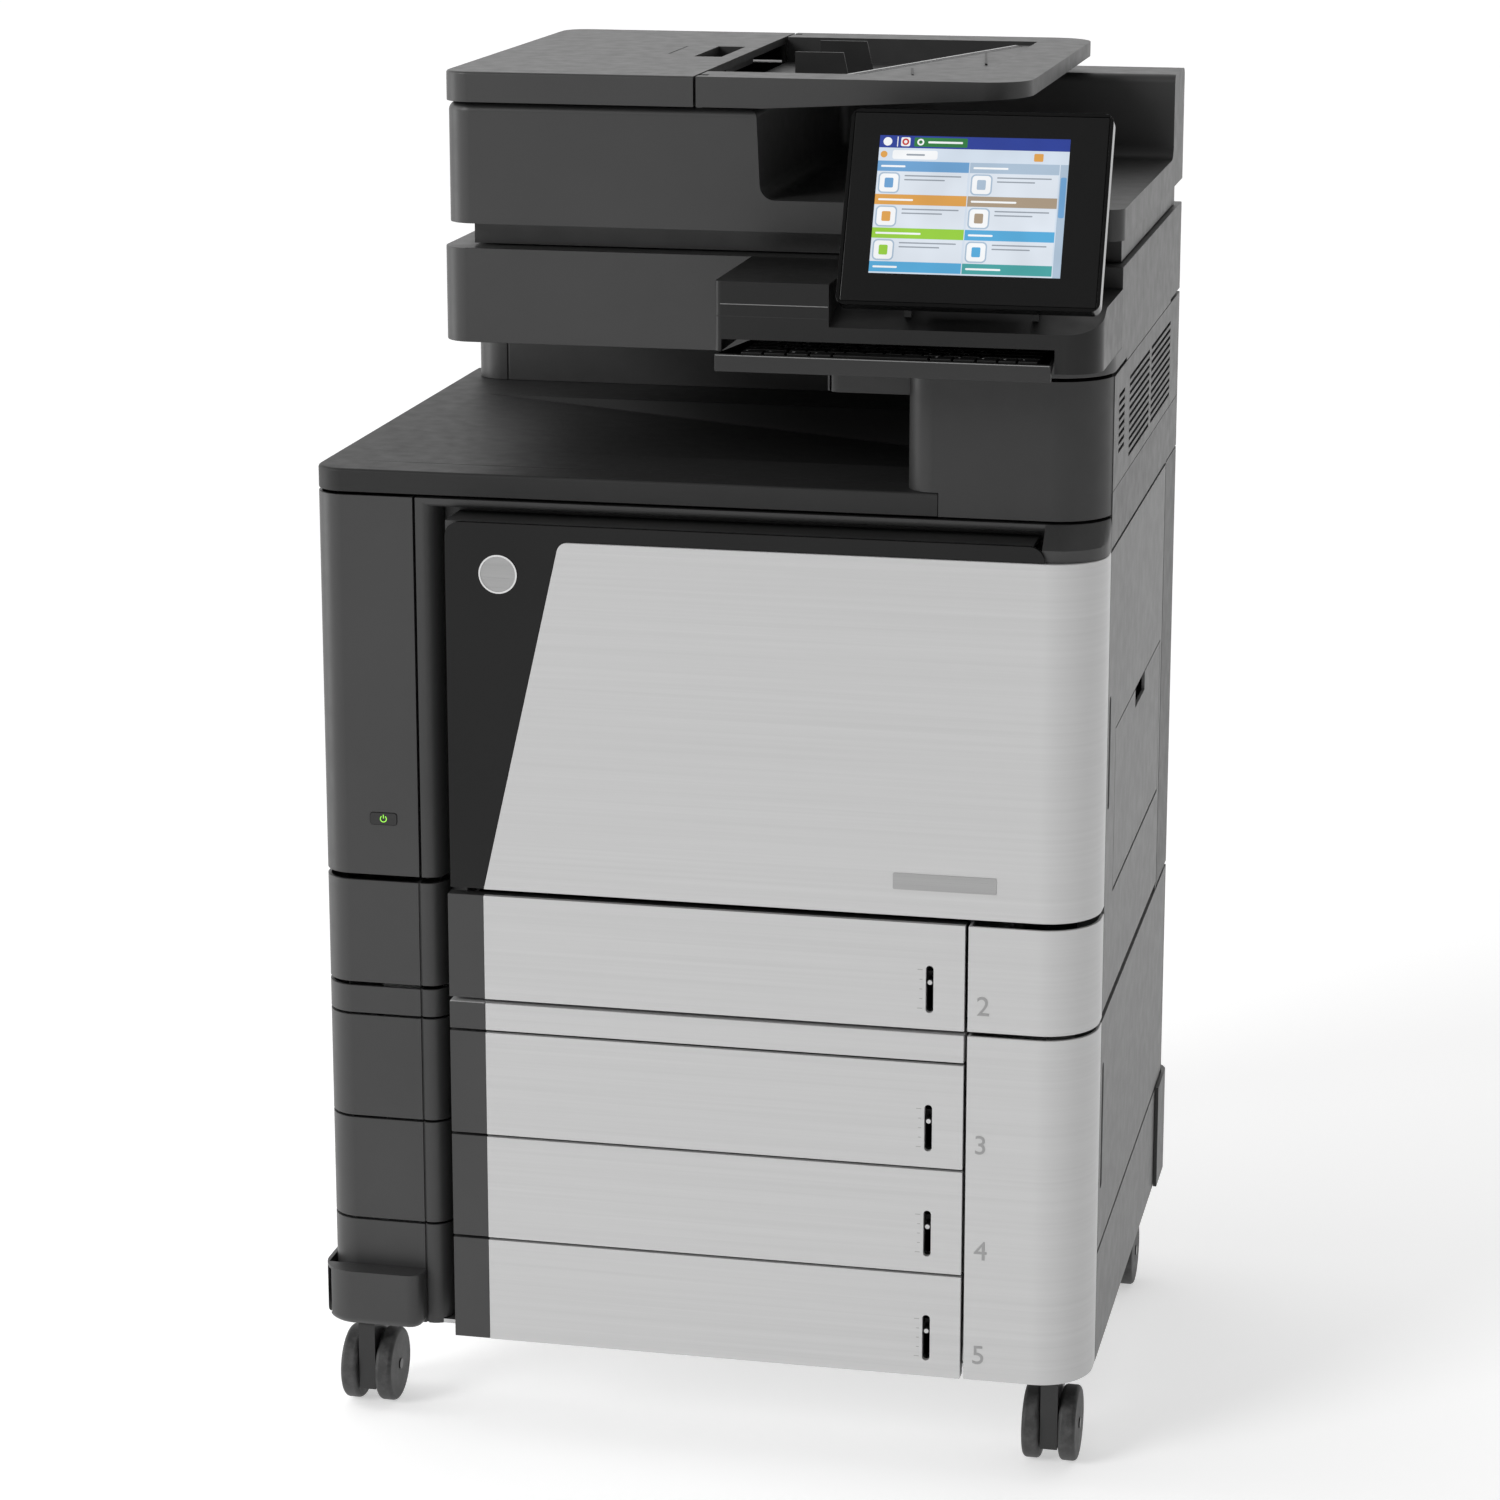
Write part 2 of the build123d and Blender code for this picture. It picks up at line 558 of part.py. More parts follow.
def scanner_base():
    """Flat-bed scanner housing with the platen opening, pod support and feeder hinge ears."""
    z0, z1 = SCANNER_BOTTOM, SCANNER_TOP
    outer = block(SCANNER_LEFT, HALF, SCANNER_FRONT, BODY_REAR, z0, z1)
    outer = round_upright(outer, 25, (SCANNER_LEFT, SCANNER_FRONT), (SCANNER_LEFT, BODY_REAR))
    inner = block(SCANNER_LEFT + WALL, HALF - WALL, SCANNER_FRONT + WALL, BODY_REAR - WALL, z0 + WALL, z1 - 6)
    corners = ((SCANNER_LEFT + WALL, SCANNER_FRONT + WALL), (SCANNER_LEFT + WALL, BODY_REAR - WALL))
    base = outer - round_upright(inner, 22, *corners)
    x0, x1, y0, y1 = PLATEN
    ledge = PLATEN_LEDGE
    base -= block(x0, x1, y0, y1, z1 - 7, z1 + 1)
    base -= block(x0 - ledge, x1 + ledge, y0 - ledge, y1 + ledge, z1 - GLASS_THICK, z1 + 1)
    support = block(TOWER_LEFT, HALF, COVER_FRONT, SCANNER_FRONT + 1, z0, z0 + 15)
    support = round_upright(support, CORNER_RADIUS, (HALF, COVER_FRONT))
    support = round_upright(support, 20, (TOWER_LEFT, COVER_FRONT))
    support -= block(TOWER_LEFT + 25, HALF - 50, COVER_FRONT + 25, SCANNER_FRONT - 6, z0 - 1, z0 + 12)
    base += support
    base += block(TOWER_LEFT, HALF, 150, 500, TOWER_TOP, z0)
    base += block(SCANNER_LEFT + 30, TOWER_LEFT - 5, 530, 570, TOWER_TOP, z0)
    for x in (-180.0, 300.0):
        ear = block(x - 4, x + 4, FEEDER_PIN_Y - 8, FEEDER_PIN_Y + 8, z1 - 1, FEEDER_PIN_Z)
        ear += rod("X", 8, 8, x, FEEDER_PIN_Y, FEEDER_PIN_Z)
        pin = rod("X", 44, 4, x, FEEDER_PIN_Y, FEEDER_PIN_Z)
        base += ear + pin
    return base


def platen_glass():
    """Glass pane let into the scanner's top."""
    x0, x1, y0, y1 = PLATEN
    grow = PLATEN_LEDGE - 0.3
    return block(x0 - grow, x1 + grow, y0 - grow, y1 + grow, SCANNER_TOP - GLASS_THICK, SCANNER_TOP - 0.3)


def scan_carriage():
    """Lamp and mirror carriage under the glass."""
    left = SCANNER_LEFT + 14
    body = block(left, left + CARRIAGE_LENGTH, 165, 490, 1052, 1096)
    lamp = block(left + 12, left + 28, 180, 475, 1090, 1097)
    return body - lamp


def control_pod():
    """Pod on the scanner's front: electronics box, keyboard roof, right leg and display ears."""
    rear = SCANNER_FRONT - FIT
    left_part = block(POD_LEFT, POD_STEP_X, POD_FRONT, rear, POD_FLOOR, SCANNER_TOP)
    left_part = round_upright(left_part, 6, (POD_LEFT, POD_FRONT))
    profile = [
        (POD_FRONT, POD_FLOOR),
        (rear, POD_FLOOR),
        (rear, POD_STEP_Z),
        (POD_FRONT + 43, POD_STEP_Z),
        (POD_FRONT, POD_STEP_Z - 18),
    ]
    right_part = side_prism(profile, POD_STEP_X - 1, HALF)
    pod = left_part + right_part
    leg = block(POD_LEG_LEFT, HALF, POD_FRONT, rear, SCANNER_BOTTOM + 15.3, POD_FLOOR + 1)
    pod += leg
    mask = block(POD_LEFT, HALF, POD_FRONT, rear, SCANNER_BOTTOM, SCANNER_TOP)
    mask = round_upright(mask, 30, (HALF, POD_FRONT))
    mask = round_upright(mask, 6, (POD_LEFT, POD_FRONT))
    pod = pod & mask
    hollow_top = SCANNER_TOP - WALL
    pod -= block(POD_LEFT + WALL, POD_STEP_X - WALL, POD_FRONT + WALL, rear + 1, POD_FLOOR + WALL, hollow_top)
    pod -= block(POD_STEP_X + 5, HALF - 30, POD_FRONT + 26, rear + 1, POD_FLOOR + WALL, POD_STEP_Z - 8)
    skirt = block(POD_LEFT, POD_LEFT + 6, POD_FRONT, rear, KEYBOARD_HIGH + 1.5, POD_FLOOR + 1)
    pod += round_upright(skirt, 5.9, (POD_LEFT, POD_FRONT))
    for x in (DISPLAY_X - 55, DISPLAY_X + 55):
        ear = block(x - 3, x + 3, HINGE_Y - 9, HINGE_Y + 9, POD_STEP_Z - 10, HINGE_Z)
        pod += ear + rod("X", 6, 9, x, HINGE_Y, HINGE_Z)
    return pod + rod("X", 112, PIN_RADIUS, DISPLAY_X, HINGE_Y, HINGE_Z)


def tilted(shape):
    """Leans a shape back about the display's lower front edge and sets it in place."""
    return Pos(DISPLAY_X, DISPLAY_FRONT, DISPLAY_LOW) * Rot(-DISPLAY_TILT, 0, 0) * shape


def display_housing():
    """Tilting display case with a hinge barrel at its back."""
    width, height, thick = DISPLAY_WIDTH, DISPLAY_HEIGHT, DISPLAY_THICK
    case = block(-width / 2, width / 2, 0, thick, 0, height)
    case = round_along(case, 8, Axis.Y, lambda c: True)
    case = fillet([e for e in case.edges() if abs(e.center().Y - thick) < 0.01], 5)
    case -= block(-width / 2 + 3, width / 2 - 3, -1, 1.8, 3, height - 3)
    case = tilted(case)
    arm = block(DISPLAY_X - 40, DISPLAY_X + 40, HINGE_Y - 12, HINGE_Y, HINGE_Z - 3, HINGE_Z + 7)
    barrel = rod("X", 80, 7, DISPLAY_X, HINGE_Y, HINGE_Z)
    case += arm + barrel
    return case - rod("X", 90, PIN_RADIUS + PIN_PLAY, DISPLAY_X, HINGE_Y, HINGE_Z)


def display_screen():
    """Touch glass in the front of the display case."""
    width, height = DISPLAY_WIDTH - 7, DISPLAY_HEIGHT - 7
    return tilted(block(-width / 2, width / 2, 0.2, 1.8, 3.5, 3.5 + height))


def keyboard_tray():
    """Shallow tray that slides out under the pod: wide front lip, sides that close in towards the rear."""
    x0, x1, y0, y1 = KEYBOARD
    low, high, floor = KEYBOARD_LOW, KEYBOARD_HIGH, 1038.5
    left, right = KEYBOARD_TAPER
    lip = 6.0

    def outline(inset):
        """The tray's outline in plan, moved in on every side."""
        return [
            (x0 + inset, y0 + inset),
            (x1 - inset, y0 + inset),
            (x1 - inset, y0 + lip + inset / 2),
            (x1 - right - inset, y0 + 95),
            (x1 - right - inset, y1 - inset),
            (x0 + left + inset, y1 - inset),
            (x0 + left + inset, y0 + 95),
            (x0 + inset, y0 + lip + inset / 2),
        ]

    tray = upright_prism(outline(0), floor, high)
    tray -= upright_prism(outline(2), floor + 2.5, high + 1) & block(x0, x1, y0 + lip, y1, floor, high + 2)
    return tray + block(x0, x1, y0, y0 + lip, low, high)


KEY_PITCH = 16.8
KEY_DEPTH = 17.6
KEY_ROWS = (
    (1, 1, 1, 1, 1, 1, 1, 1, 1, 1, 1, 1, 1, 1, 1.4),
    (1.5, 1, 1, 1, 1, 1, 1, 1, 1, 1, 1, 1, 1, 1.9),
    (1.8, 1, 1, 1, 1, 1, 1, 1, 1, 1, 1, 1, 2.6),
    (2.3, 1, 1, 1, 1, 1, 1, 1, 1, 1, 1, 3.1),
    (1.2, 1.2, 1.2, 1.2, 5, 1.2, 1.2, 1.1, 1, 1.1),
)


def keyboard_keys():
    """Key caps in five rows, front row last."""
    keys = []
    for row, widths in enumerate(KEY_ROWS):
        y = KEYBOARD[2] + 8 + KEY_DEPTH * (len(KEY_ROWS) - 0.5 - row)
        x = KEYBOARD[0] + 20.4
        for width in widths:
            across = width * KEY_PITCH
            keys.append(block(x + 1, x + across - 1, y - 7.6, y + 7.6, 1041.0, 1047.0))
            x += across
    return keys


# ---------------------------------------------------------------- document feeder


def knuckle(x, z, y, width, low):
    """Upright hinge lug, bored for a pin along Y, standing on the feeder body from a given height."""
    lug = block(x - 2, x + 2, y - width / 2, y + width / 2, low, z) + rod("Y", width, 2.4, x, y, z)
    return lug - rod("Y", width + 2, KNUCKLE_PIN + PIN_PLAY, x, y, z)


def feeder_base():
    """Feeder body over the scanner: roller box on the left, return tray and back wall on the right."""
    outer = block(FEEDER_LEFT, HALF, FEEDER_FRONT, BODY_REAR, FEEDER_BOTTOM, FEEDER_TOP)
    outer = round_upright(outer, 25, (FEEDER_LEFT, FEEDER_FRONT), (FEEDER_LEFT, BODY_REAR))
    cut = front_prism(
        [
            (RETURN_LEFT, FEEDER_TOP + 1),
            (RETURN_LEFT + 4, RETURN_FLOOR),
            (HALF + 1, RETURN_FLOOR),
            (HALF + 1, FEEDER_TOP + 1),
        ],
        FEEDER_FRONT - 1,
        BACK_WALL,
    )
    cut = round_along(cut, 14, Axis.Y, lambda c: c.X < RETURN_LEFT + 5 and c.Z < RETURN_FLOOR + 1)
    cut = round_along(cut, 13, Axis.X, lambda c: abs(c.Y - BACK_WALL) < 1 and abs(c.Z - RETURN_FLOOR) < 1)
    base = outer - cut
    base = round_upright(base, 14, (HALF, FEEDER_FRONT))
    crest = [e for e in base.edges().filter_by(Axis.X) if abs(e.center().Z - FEEDER_TOP) < 0.1]
    base = fillet([e for e in crest if e.center().X > RETURN_LEFT], 8)
    base -= block(FEEDER_LEFT + 20, RETURN_LEFT - 20, FEEDER_FRONT + 30, BODY_REAR - 40, 1150, FEEDER_TOP + 1)
    neck_low = SCANNER_TOP + 1.5
    base += block(FEEDER_LEFT + 20, HALF - 5, FEEDER_FRONT + 30, BODY_REAR - 23, neck_low, FEEDER_BOTTOM)
    x0, x1, y0, y1 = PLATEN
    base -= block(x0 - 6, x1 + 6, y0 - 6, y1 + 6, SCANNER_TOP, SCANNER_TOP + 4)
    for x in (-180.0, 300.0):
        base -= block(x - 30, x + 30, FEEDER_PIN_Y - 32, BODY_REAR + 1, 0, FEEDER_BOTTOM + 1)
        for side in (-1, 1):
            middle = x + side * 13
            near, far = FEEDER_PIN_Y - 6, FEEDER_PIN_Y + 6
            lug = block(middle - 7, middle + 7, near, far, FEEDER_PIN_Z, FEEDER_BOTTOM + 3)
            lug += rod("X", 14, 6, x + side * 13, FEEDER_PIN_Y, FEEDER_PIN_Z)
            base += lug
        base -= rod("X", 60, 4 + PIN_PLAY, x, FEEDER_PIN_Y, FEEDER_PIN_Z)
    x, z = LID_PIN
    for y in LID_HINGE_Y:
        base += knuckle(x, z, y, 10, FEEDER_TOP - 3)
    for y in INPUT_HINGE_Y:
        x, y, z = input_hinge_at(y)
        base += knuckle(x, z, y, 8, FEEDER_TOP - 3)
    pad = block(x0 - 5, x1 + 5, y0 - 5, y1 + 5, SCANNER_TOP + 0.5, SCANNER_TOP + 4)
    rollers = [rod("Y", 300, 11, x, 330, 1210) for x in (-60.0, -120.0)]
    shafts = [rod("Y", 422 - 20, 4, x, 336, 1210) for x in (-60.0, -120.0)]
    return base, pad, rollers[0] + shafts[0], rollers[1] + shafts[1]


def feeder_lid():
    """Lid over the feeder's rollers with a sunk grip."""
    lid = block(FEEDER_LEFT, LID_RIGHT, LID_FRONT, LID_REAR, LID_BOTTOM, LID_TOP)
    lid = round_upright(lid, 25, (FEEDER_LEFT, LID_FRONT), (FEEDER_LEFT, LID_REAR))
    crest = [e for e in lid.edges() if abs(e.center().Z - LID_TOP) < 0.01]
    lid = fillet([e for e in crest if e.center().X < LID_RIGHT - 1], 2.5)
    inner = block(FEEDER_LEFT + WALL, LID_RIGHT - WALL, LID_FRONT + WALL, LID_REAR - WALL, 0, LID_TOP - WALL)
    x = FEEDER_LEFT + WALL
    inner = round_upright(inner, 22, (x, LID_FRONT + WALL), (x, LID_REAR - WALL))
    lid -= inner
    lid -= block(LID_RIGHT - WALL - 1, LID_RIGHT + 1, 150, 502, LID_BOTTOM - 1, LID_TOP - 7)
    cup = block(-70, -32, 278, 398, LID_TOP - 16, LID_TOP - 1)
    lid = lid + cup - block(-64, -38, 285, 391, LID_TOP - 13, LID_TOP + 1)
    x, z = LID_PIN
    for y in LID_HINGE_Y:
        lid -= block(x - 2, x + 5, y - 6, y + 6, LID_BOTTOM - 1, z + 5)
        lid += rod("Y", 16, KNUCKLE_PIN, x, y, z)
    return lid


def feeder_input_tray():
    """Sloping input tray: wide flat rim, deep feed end, raised shelf with a slanted edge, two hinge slots."""
    profile = [
        (INPUT_LEFT, LID_BOTTOM),
        (INPUT_LEFT + 60, LID_BOTTOM),
        (INPUT_RIGHT, LID_TOP - 14),
        (INPUT_RIGHT, LID_TOP),
        (INPUT_LEFT, LID_TOP),
    ]
    tray = front_prism(profile, LID_FRONT, LID_REAR)
    tray = round_upright(tray, 40, (INPUT_RIGHT, LID_FRONT), (INPUT_RIGHT, LID_REAR))
    y0, y1 = LID_FRONT + RIM, LID_REAR - RIM
    far, floor, shelf = INPUT_RIGHT - RIM, LID_BOTTOM + 3, LID_TOP - 3.5
    ramp = [(INPUT_LEFT - 1, floor), (GUIDE_RIGHT + 10, floor), (far, shelf - 1)]
    deep = front_prism([*ramp, (far, LID_TOP + 1), (INPUT_LEFT - 1, LID_TOP + 1)], y0, y1)
    slanted = [(INPUT_LEFT - 1, y0), (SHELF_NEAR_X, y0), (SHELF_FAR_X, y1), (INPUT_LEFT - 1, y1)]
    tray -= deep & upright_prism(slanted, LID_BOTTOM, LID_TOP + 1)
    tray -= block(SHELF_NEAR_X, far, y0, y1, shelf, LID_TOP + 1)
    for y in INPUT_HINGE_Y:
        tray -= block(INPUT_LEFT - 1, INPUT_LEFT + 8, y - 5, y + 5, LID_BOTTOM - 1, LID_TOP + 1)
        tray += rod("Y", 14, KNUCKLE_PIN, *input_hinge_at(y))
    return tray


def input_hinge_at(y):
    """A point on the input tray's hinge line."""
    return INPUT_LEFT + 0.5, y, LID_TOP - 3.0


GUIDE_REST = (266.0, 385.0)


def feeder_guide(front):
    """One of the two paper guides: an upright blade with a slanted end, on a flat foot."""
    y = GUIDE_REST[0] if front else GUIDE_REST[1]
    side = -1 if front else 1
    floor = LID_BOTTOM + 3 + FIT
    left, right, top = GUIDE_RIGHT - 52, GUIDE_RIGHT, LID_TOP + GUIDE_PROUD
    blade = front_prism([(left, floor), (right, floor), (right - 7, top), (left, top)], y - 1.5, y + 1.5)
    foot = block(left, right, min(y, y + side * 9), max(y, y + side * 9), floor, floor + 2)
    return blade + foot


# ---------------------------------------------------------------- front door


def silver_outline(grow):
    """Outline of the silver panel seen from the front, grown on every free side."""
    return [
        (TRAY_LEFT - grow, DOOR_BOTTOM - 1),
        (SILVER_TOP_LEFT - grow, SILVER_TOP + grow),
        (HALF + 1, SILVER_TOP + grow),
        (HALF + 1, DOOR_BOTTOM - 1),
    ]


def door_slab(y0, rear, z0, z1, left):
    """Solid door shape whose right side turns round the machine's corner, set back by y0."""
    slab = block(left, HALF - y0, y0, rear, z0, z1)
    return round_upright(slab, CORNER_RADIUS - y0, (HALF - y0, y0))


def door_silver_panel():
    """Brushed panel with a slanted left edge that wraps round the right corner."""
    outer = door_slab(0, CORNER_REAR, DOOR_BOTTOM, SILVER_TOP, TRAY_LEFT - 40)
    inner = door_slab(FACE_THICK, CORNER_REAR + 1, DOOR_BOTTOM - 1, SILVER_TOP + 1, TRAY_LEFT - 50)
    mask = front_prism(silver_outline(0), -10, CORNER_REAR + 10)
    mask = round_along(mask, 10, Axis.Y, lambda c: c.X < 0 and c.Z > SILVER_TOP - 5)
    return (outer - inner) & mask


def door_gloss_panel():
    """Glossy dark panel left of and above the silver one."""
    panel = block(GLOSS_LEFT, HALF - CORNER_RADIUS, 1.5, FACE_THICK, DOOR_BOTTOM, GLOSS_TOP)
    panel = round_along(panel, 14, Axis.Y, lambda c: c.Z > GLOSS_TOP - 1)
    mask = front_prism(silver_outline(0.4), -10, CORNER_REAR + 10)
    mask = round_along(mask, 10, Axis.Y, lambda c: c.X < 0 and c.Z > SILVER_TOP - 5)
    return panel - mask


DOOR_HINGE_X = (-120.0, 200.0)
DOOR_PIN_RADIUS = 2.5
DOOR_ARM_RADIUS = 3.5


def corner_outline(front, radius, z):
    """Flat outline of the door's right corner at one height."""
    outline = Rectangle(HALF - 308, 150, align=(Align.MAX, Align.MIN))
    corner = outline.vertices().sort_by(Axis.X)[-2:].sort_by(Axis.Y)[0]
    return Pos(HALF, front, z) * fillet(corner, radius)


def door_frame():
    """Door moulding: tub behind both panels, curved left strip, top band, corner cap and knuckles."""
    left, rear = COLUMN_RIGHT + 2.5, DOOR_DEPTH
    tub = door_slab(FACE_THICK, rear, DOOR_BOTTOM, GLOSS_TOP, GLOSS_LEFT)
    tub -= block(300, HALF, 0, rear + 1, SILVER_TOP + 1, GLOSS_TOP + 1)
    tub -= door_slab(FACE_THICK + WALL, rear + 1, DOOR_BOTTOM + WALL, GLOSS_TOP - WALL, GLOSS_LEFT + WALL)
    back = rear + 4
    strip = curved_strip(DOOR_BOTTOM, DOOR_TOP, left)
    strip += block(left, GLOSS_LEFT + WALL, rear - 2, back, DOOR_BOTTOM, DOOR_TOP)
    band = block(left, 309, COVER_FRONT, back, GLOSS_TOP + 7, DOOR_TOP)
    band = round_along(band, 6, Axis.X, lambda c: c.Z < GLOSS_TOP + 8 and c.Y < COVER_FRONT + 1)
    band += block(left, 309, rear - 2, back, GLOSS_TOP - WALL, DOOR_TOP)
    low_outline = corner_outline(FACE_THICK, 45, SILVER_TOP + 0.4)
    mid_outline = corner_outline(FACE_THICK, 45, GLOSS_TOP - 4)
    top_outline = corner_outline(COVER_FRONT, 50, DOOR_TOP)
    cap = loft([low_outline, mid_outline]) + loft([mid_outline, top_outline])
    cap -= block(300, HALF + 1, CORNER_REAR, 200, SILVER_TOP - 1, DOOR_TOP + 1)
    cap -= block(312, HALF - 18, 45, CORNER_REAR + 1, SILVER_TOP - 1, DOOR_TOP - WALL)
    frame = tub + strip + band + cap
    for x in DOOR_HINGE_X:
        frame -= block(x - 12, x + 12, FACE_THICK - 0.1, back + 1, DOOR_BOTTOM - 1, DOOR_PIN_Z + 10)
        for side in (-1, 1):
            middle = x + side * 16
            knuckle = block(middle - 3.5, middle + 3.5, FACE_THICK, 14, DOOR_BOTTOM + 1, DOOR_PIN_Z + 6)
            frame += knuckle
        frame -= rod("X", 44, DOOR_PIN_RADIUS + PIN_PLAY, x, DOOR_PIN_Y, DOOR_PIN_Z)
    return frame


def door_arms():
    """Arms on the engine frame that carry the front door's pins."""
    arms = []
    for x in DOOR_HINGE_X:
        low, high = DOOR_PIN_Z - DOOR_ARM_RADIUS, DOOR_PIN_Z + DOOR_ARM_RADIUS
        arm = block(x - 8, x + 8, DOOR_PIN_Y, 80, low, high)
        arm += block(x - 8, x + 8, 72, 80, DOOR_BOTTOM + 2 + WALL, high)
        arm += rod("X", 16, DOOR_ARM_RADIUS, x, DOOR_PIN_Y, DOOR_PIN_Z)
        arms.append(arm + rod("X", 39, DOOR_PIN_RADIUS, x, DOOR_PIN_Y, DOOR_PIN_Z))
    return arms


# ---------------------------------------------------------------- trays


def tray_front(bottom):
    """Brushed front plate of one tray with the paper gauge's slot."""
    face = block(TRAY_LEFT, TRAY_RIGHT, 0, FACE_THICK, bottom, bottom + TRAY_HEIGHT)
    return face - gauge_slot(bottom, -1, FACE_THICK + 1)


def gauge_slot(bottom, y0, y1):
    """Upright round-ended slot for the paper gauge."""
    half = GAUGE_WIDTH / 2
    slot = block(GAUGE_X - half, GAUGE_X + half, y0, y1, bottom + GAUGE_LOW, bottom + GAUGE_HIGH)
    return round_along(slot, half - 0.01, Axis.Y, lambda c: True)


def tray_cassette(bottom):
    """Paper cassette: front wall with the dark grip end, pan, sides with flanges, back, lift plate, fence."""
    top = bottom + TRAY_HEIGHT
    wall = block(GRIP_LEFT, TRAY_RIGHT, FACE_THICK, TRAY_WALL_REAR, bottom, top)
    wall += block(GRIP_LEFT, TRAY_LEFT - FIT, 1, TRAY_WALL_REAR, bottom, top)
    wall -= gauge_slot(bottom, -1, TRAY_WALL_REAR + 1)
    left, right, rear = CASSETTE_LEFT, CASSETTE_RIGHT, CASSETTE_REAR
    floor, brim = bottom + 8 + WALL, bottom + 88
    pan = block(left, right, TRAY_WALL_REAR, rear, bottom + 8, floor)
    sides = []
    for x0, x1, r0, r1 in (
        (left, left + WALL, left - RAIL_WIDTH, left),
        (right - WALL, right, right, right + RAIL_WIDTH),
    ):
        side = block(x0, x1, TRAY_WALL_REAR, rear, floor, brim)
        sides.append(side + block(r0, r1, RAIL_FRONT + 5, rear, bottom + 40, bottom + 44))
    back = block(left + WALL, right - WALL, rear - WALL, rear, floor, brim)
    plate = block(left + 12, right - 40, 60, rear - 40, floor + 1, floor + 3)
    plate -= block(-60, 60, 50, 150, floor, floor + 4)
    fence = block(-40, 40, rear - 36, rear - 32, floor, bottom + 70)
    fence += block(-40, 40, rear - 32, rear - WALL, floor, floor + 3)
    return wall, pan, *sides, back, plate, fence


def tray_pointer(bottom):
    """Paper gauge pointer: a pin through the slot on a small sliding plate."""
    z = bottom + POINTER_REST
    pin = rod("Y", TRAY_WALL_REAR - 1.0, POINTER_RADIUS, GAUGE_X, 2.0 + (TRAY_WALL_REAR - 1.0) / 2, z)
    plate = block(GAUGE_X - 6, GAUGE_X + 6, TRAY_WALL_REAR + FIT, TRAY_WALL_REAR + 2.5, z - 7, z + 7)
    return pin + plate


# ---------------------------------------------------------------- side doors and power button


HINGE_INSET = 4.0
SIDE_PIN_RADIUS = 1.5


def door_panel(y0, y1, z0, z1):
    """Flat door with turned-in edges, open towards the machine."""
    panel = block(HALF - SIDE_DOOR_DEPTH, HALF, y0, y1, z0, z1)
    return panel - block(HALF - SIDE_DOOR_DEPTH - 1, HALF - WALL, y0 + WALL, y1 - WALL, z0 + WALL, z1 - WALL)


def grip_slot(y, z0, z1):
    """Sunk upright finger grip near a side door's front edge."""
    cup = block(HALF - 14, HALF - 1, y - 9, y + 9, z0 - 3, z1 + 3)
    hole = block(HALF - 12, HALF + 1, y - 6, y + 6, z0, z1)
    return cup, round_along(hole, 5, Axis.X, lambda c: True)


def upper_right_door():
    """Door over the fuser and paper path, with the opening for the hand-feed tray."""
    z0, z1 = ENGINE_BOTTOM + 4, SILVER_TOP - 1.5
    door = door_panel(SIDE_START, SIDE_DOOR_REAR, z0, z1)
    cup, hole = grip_slot(SIDE_START + 14, 624, 728)
    door = door + cup - hole
    y0, y1, f0, f1 = FLAP
    door += block(HALF - SIDE_DOOR_DEPTH, HALF - 1, y0 - 9, y1 + 9, f0 - 9, f1 + 9)
    door -= block(HALF - SIDE_DOOR_DEPTH + WALL, HALF + 1, y0 - 1.5, y1 + 1.5, f0 - SEAM, f1 + 1.5)
    x, y, z = HALF - HINGE_INSET, (y0 + y1) / 2, f0 + HINGE_INSET
    door -= rod("Y", y1 - y0 + 14, SIDE_PIN_RADIUS + PIN_PLAY, x, y, z)
    y = SIDE_DOOR_REAR - HINGE_INSET
    for z in (z0 + 1, z1 - 1):
        door += rod("Z", 10, SIDE_PIN_RADIUS, HALF - HINGE_INSET, y, z)
    return door


def tray_1_flap():
    """Hand-feed tray that folds down out of the upper right door."""
    y0, y1, z0, z1 = FLAP
    flap = block(HALF - 12, HALF, y0, y1, z0, z1)
    flap -= block(HALF - 13, HALF - WALL, y0 + WALL, y1 - WALL, z0 + 9, z1 - WALL)
    flap = flap - block(HALF - 13, HALF - HINGE_INSET - 3.5, y0 - 1, y1 + 1, z0 - 1, z0 + 9)
    flap -= block(HALF - 9, HALF + 1, 274, 348, z1 - 18, z1 + 1)
    flap += rod("Y", y1 - y0 + 12, SIDE_PIN_RADIUS, HALF - HINGE_INSET, (y0 + y1) / 2, z0 + HINGE_INSET)
    return flap


def lower_right_door():
    """Door over the lower paper path."""
    z0, z1 = REAR_FOOT_TOP + 1.5, FILLER_TOP - 0.5
    rear = BODY_REAR - WALL - 2
    door = door_panel(SIDE_START, rear, z0, z1)
    cup, hole = grip_slot(SIDE_START + 16, 264, 384)
    door = door + cup - hole
    for z in (z0 + 1, z1 - 1):
        door += rod("Z", 10, SIDE_PIN_RADIUS, HALF - HINGE_INSET, rear - HINGE_INSET, z)
    return door


def hinge_lug(y, z0, z1):
    """Small block with a blind hole for a side door's pin."""
    lug = block(HALF - 9, HALF, y - 4, y + 4, z0, z1)
    return lug, rod("Z", 14, SIDE_PIN_RADIUS + PIN_PLAY, HALF - HINGE_INSET, y, (z0 + z1) / 2)


def power_button():
    """Power key in the left column with its guide collar."""
    x, z, width, height = BUTTON
    half, tall = width / 2 - 0.4, height / 2 - 0.4
    key = block(x - half, x + half, COVER_FRONT - 0.6, COVER_FRONT + 9, z - tall, z + tall)
    key = round_along(key, 2.6, Axis.Y, lambda c: True)
    half, tall = width / 2 + 2, height / 2 + 2
    collar = block(x - half, x + half, COVER_FRONT + WALL + FIT, COVER_FRONT + 5, z - tall, z + tall)
    return key + collar


# ---------------------------------------------------------------- casters


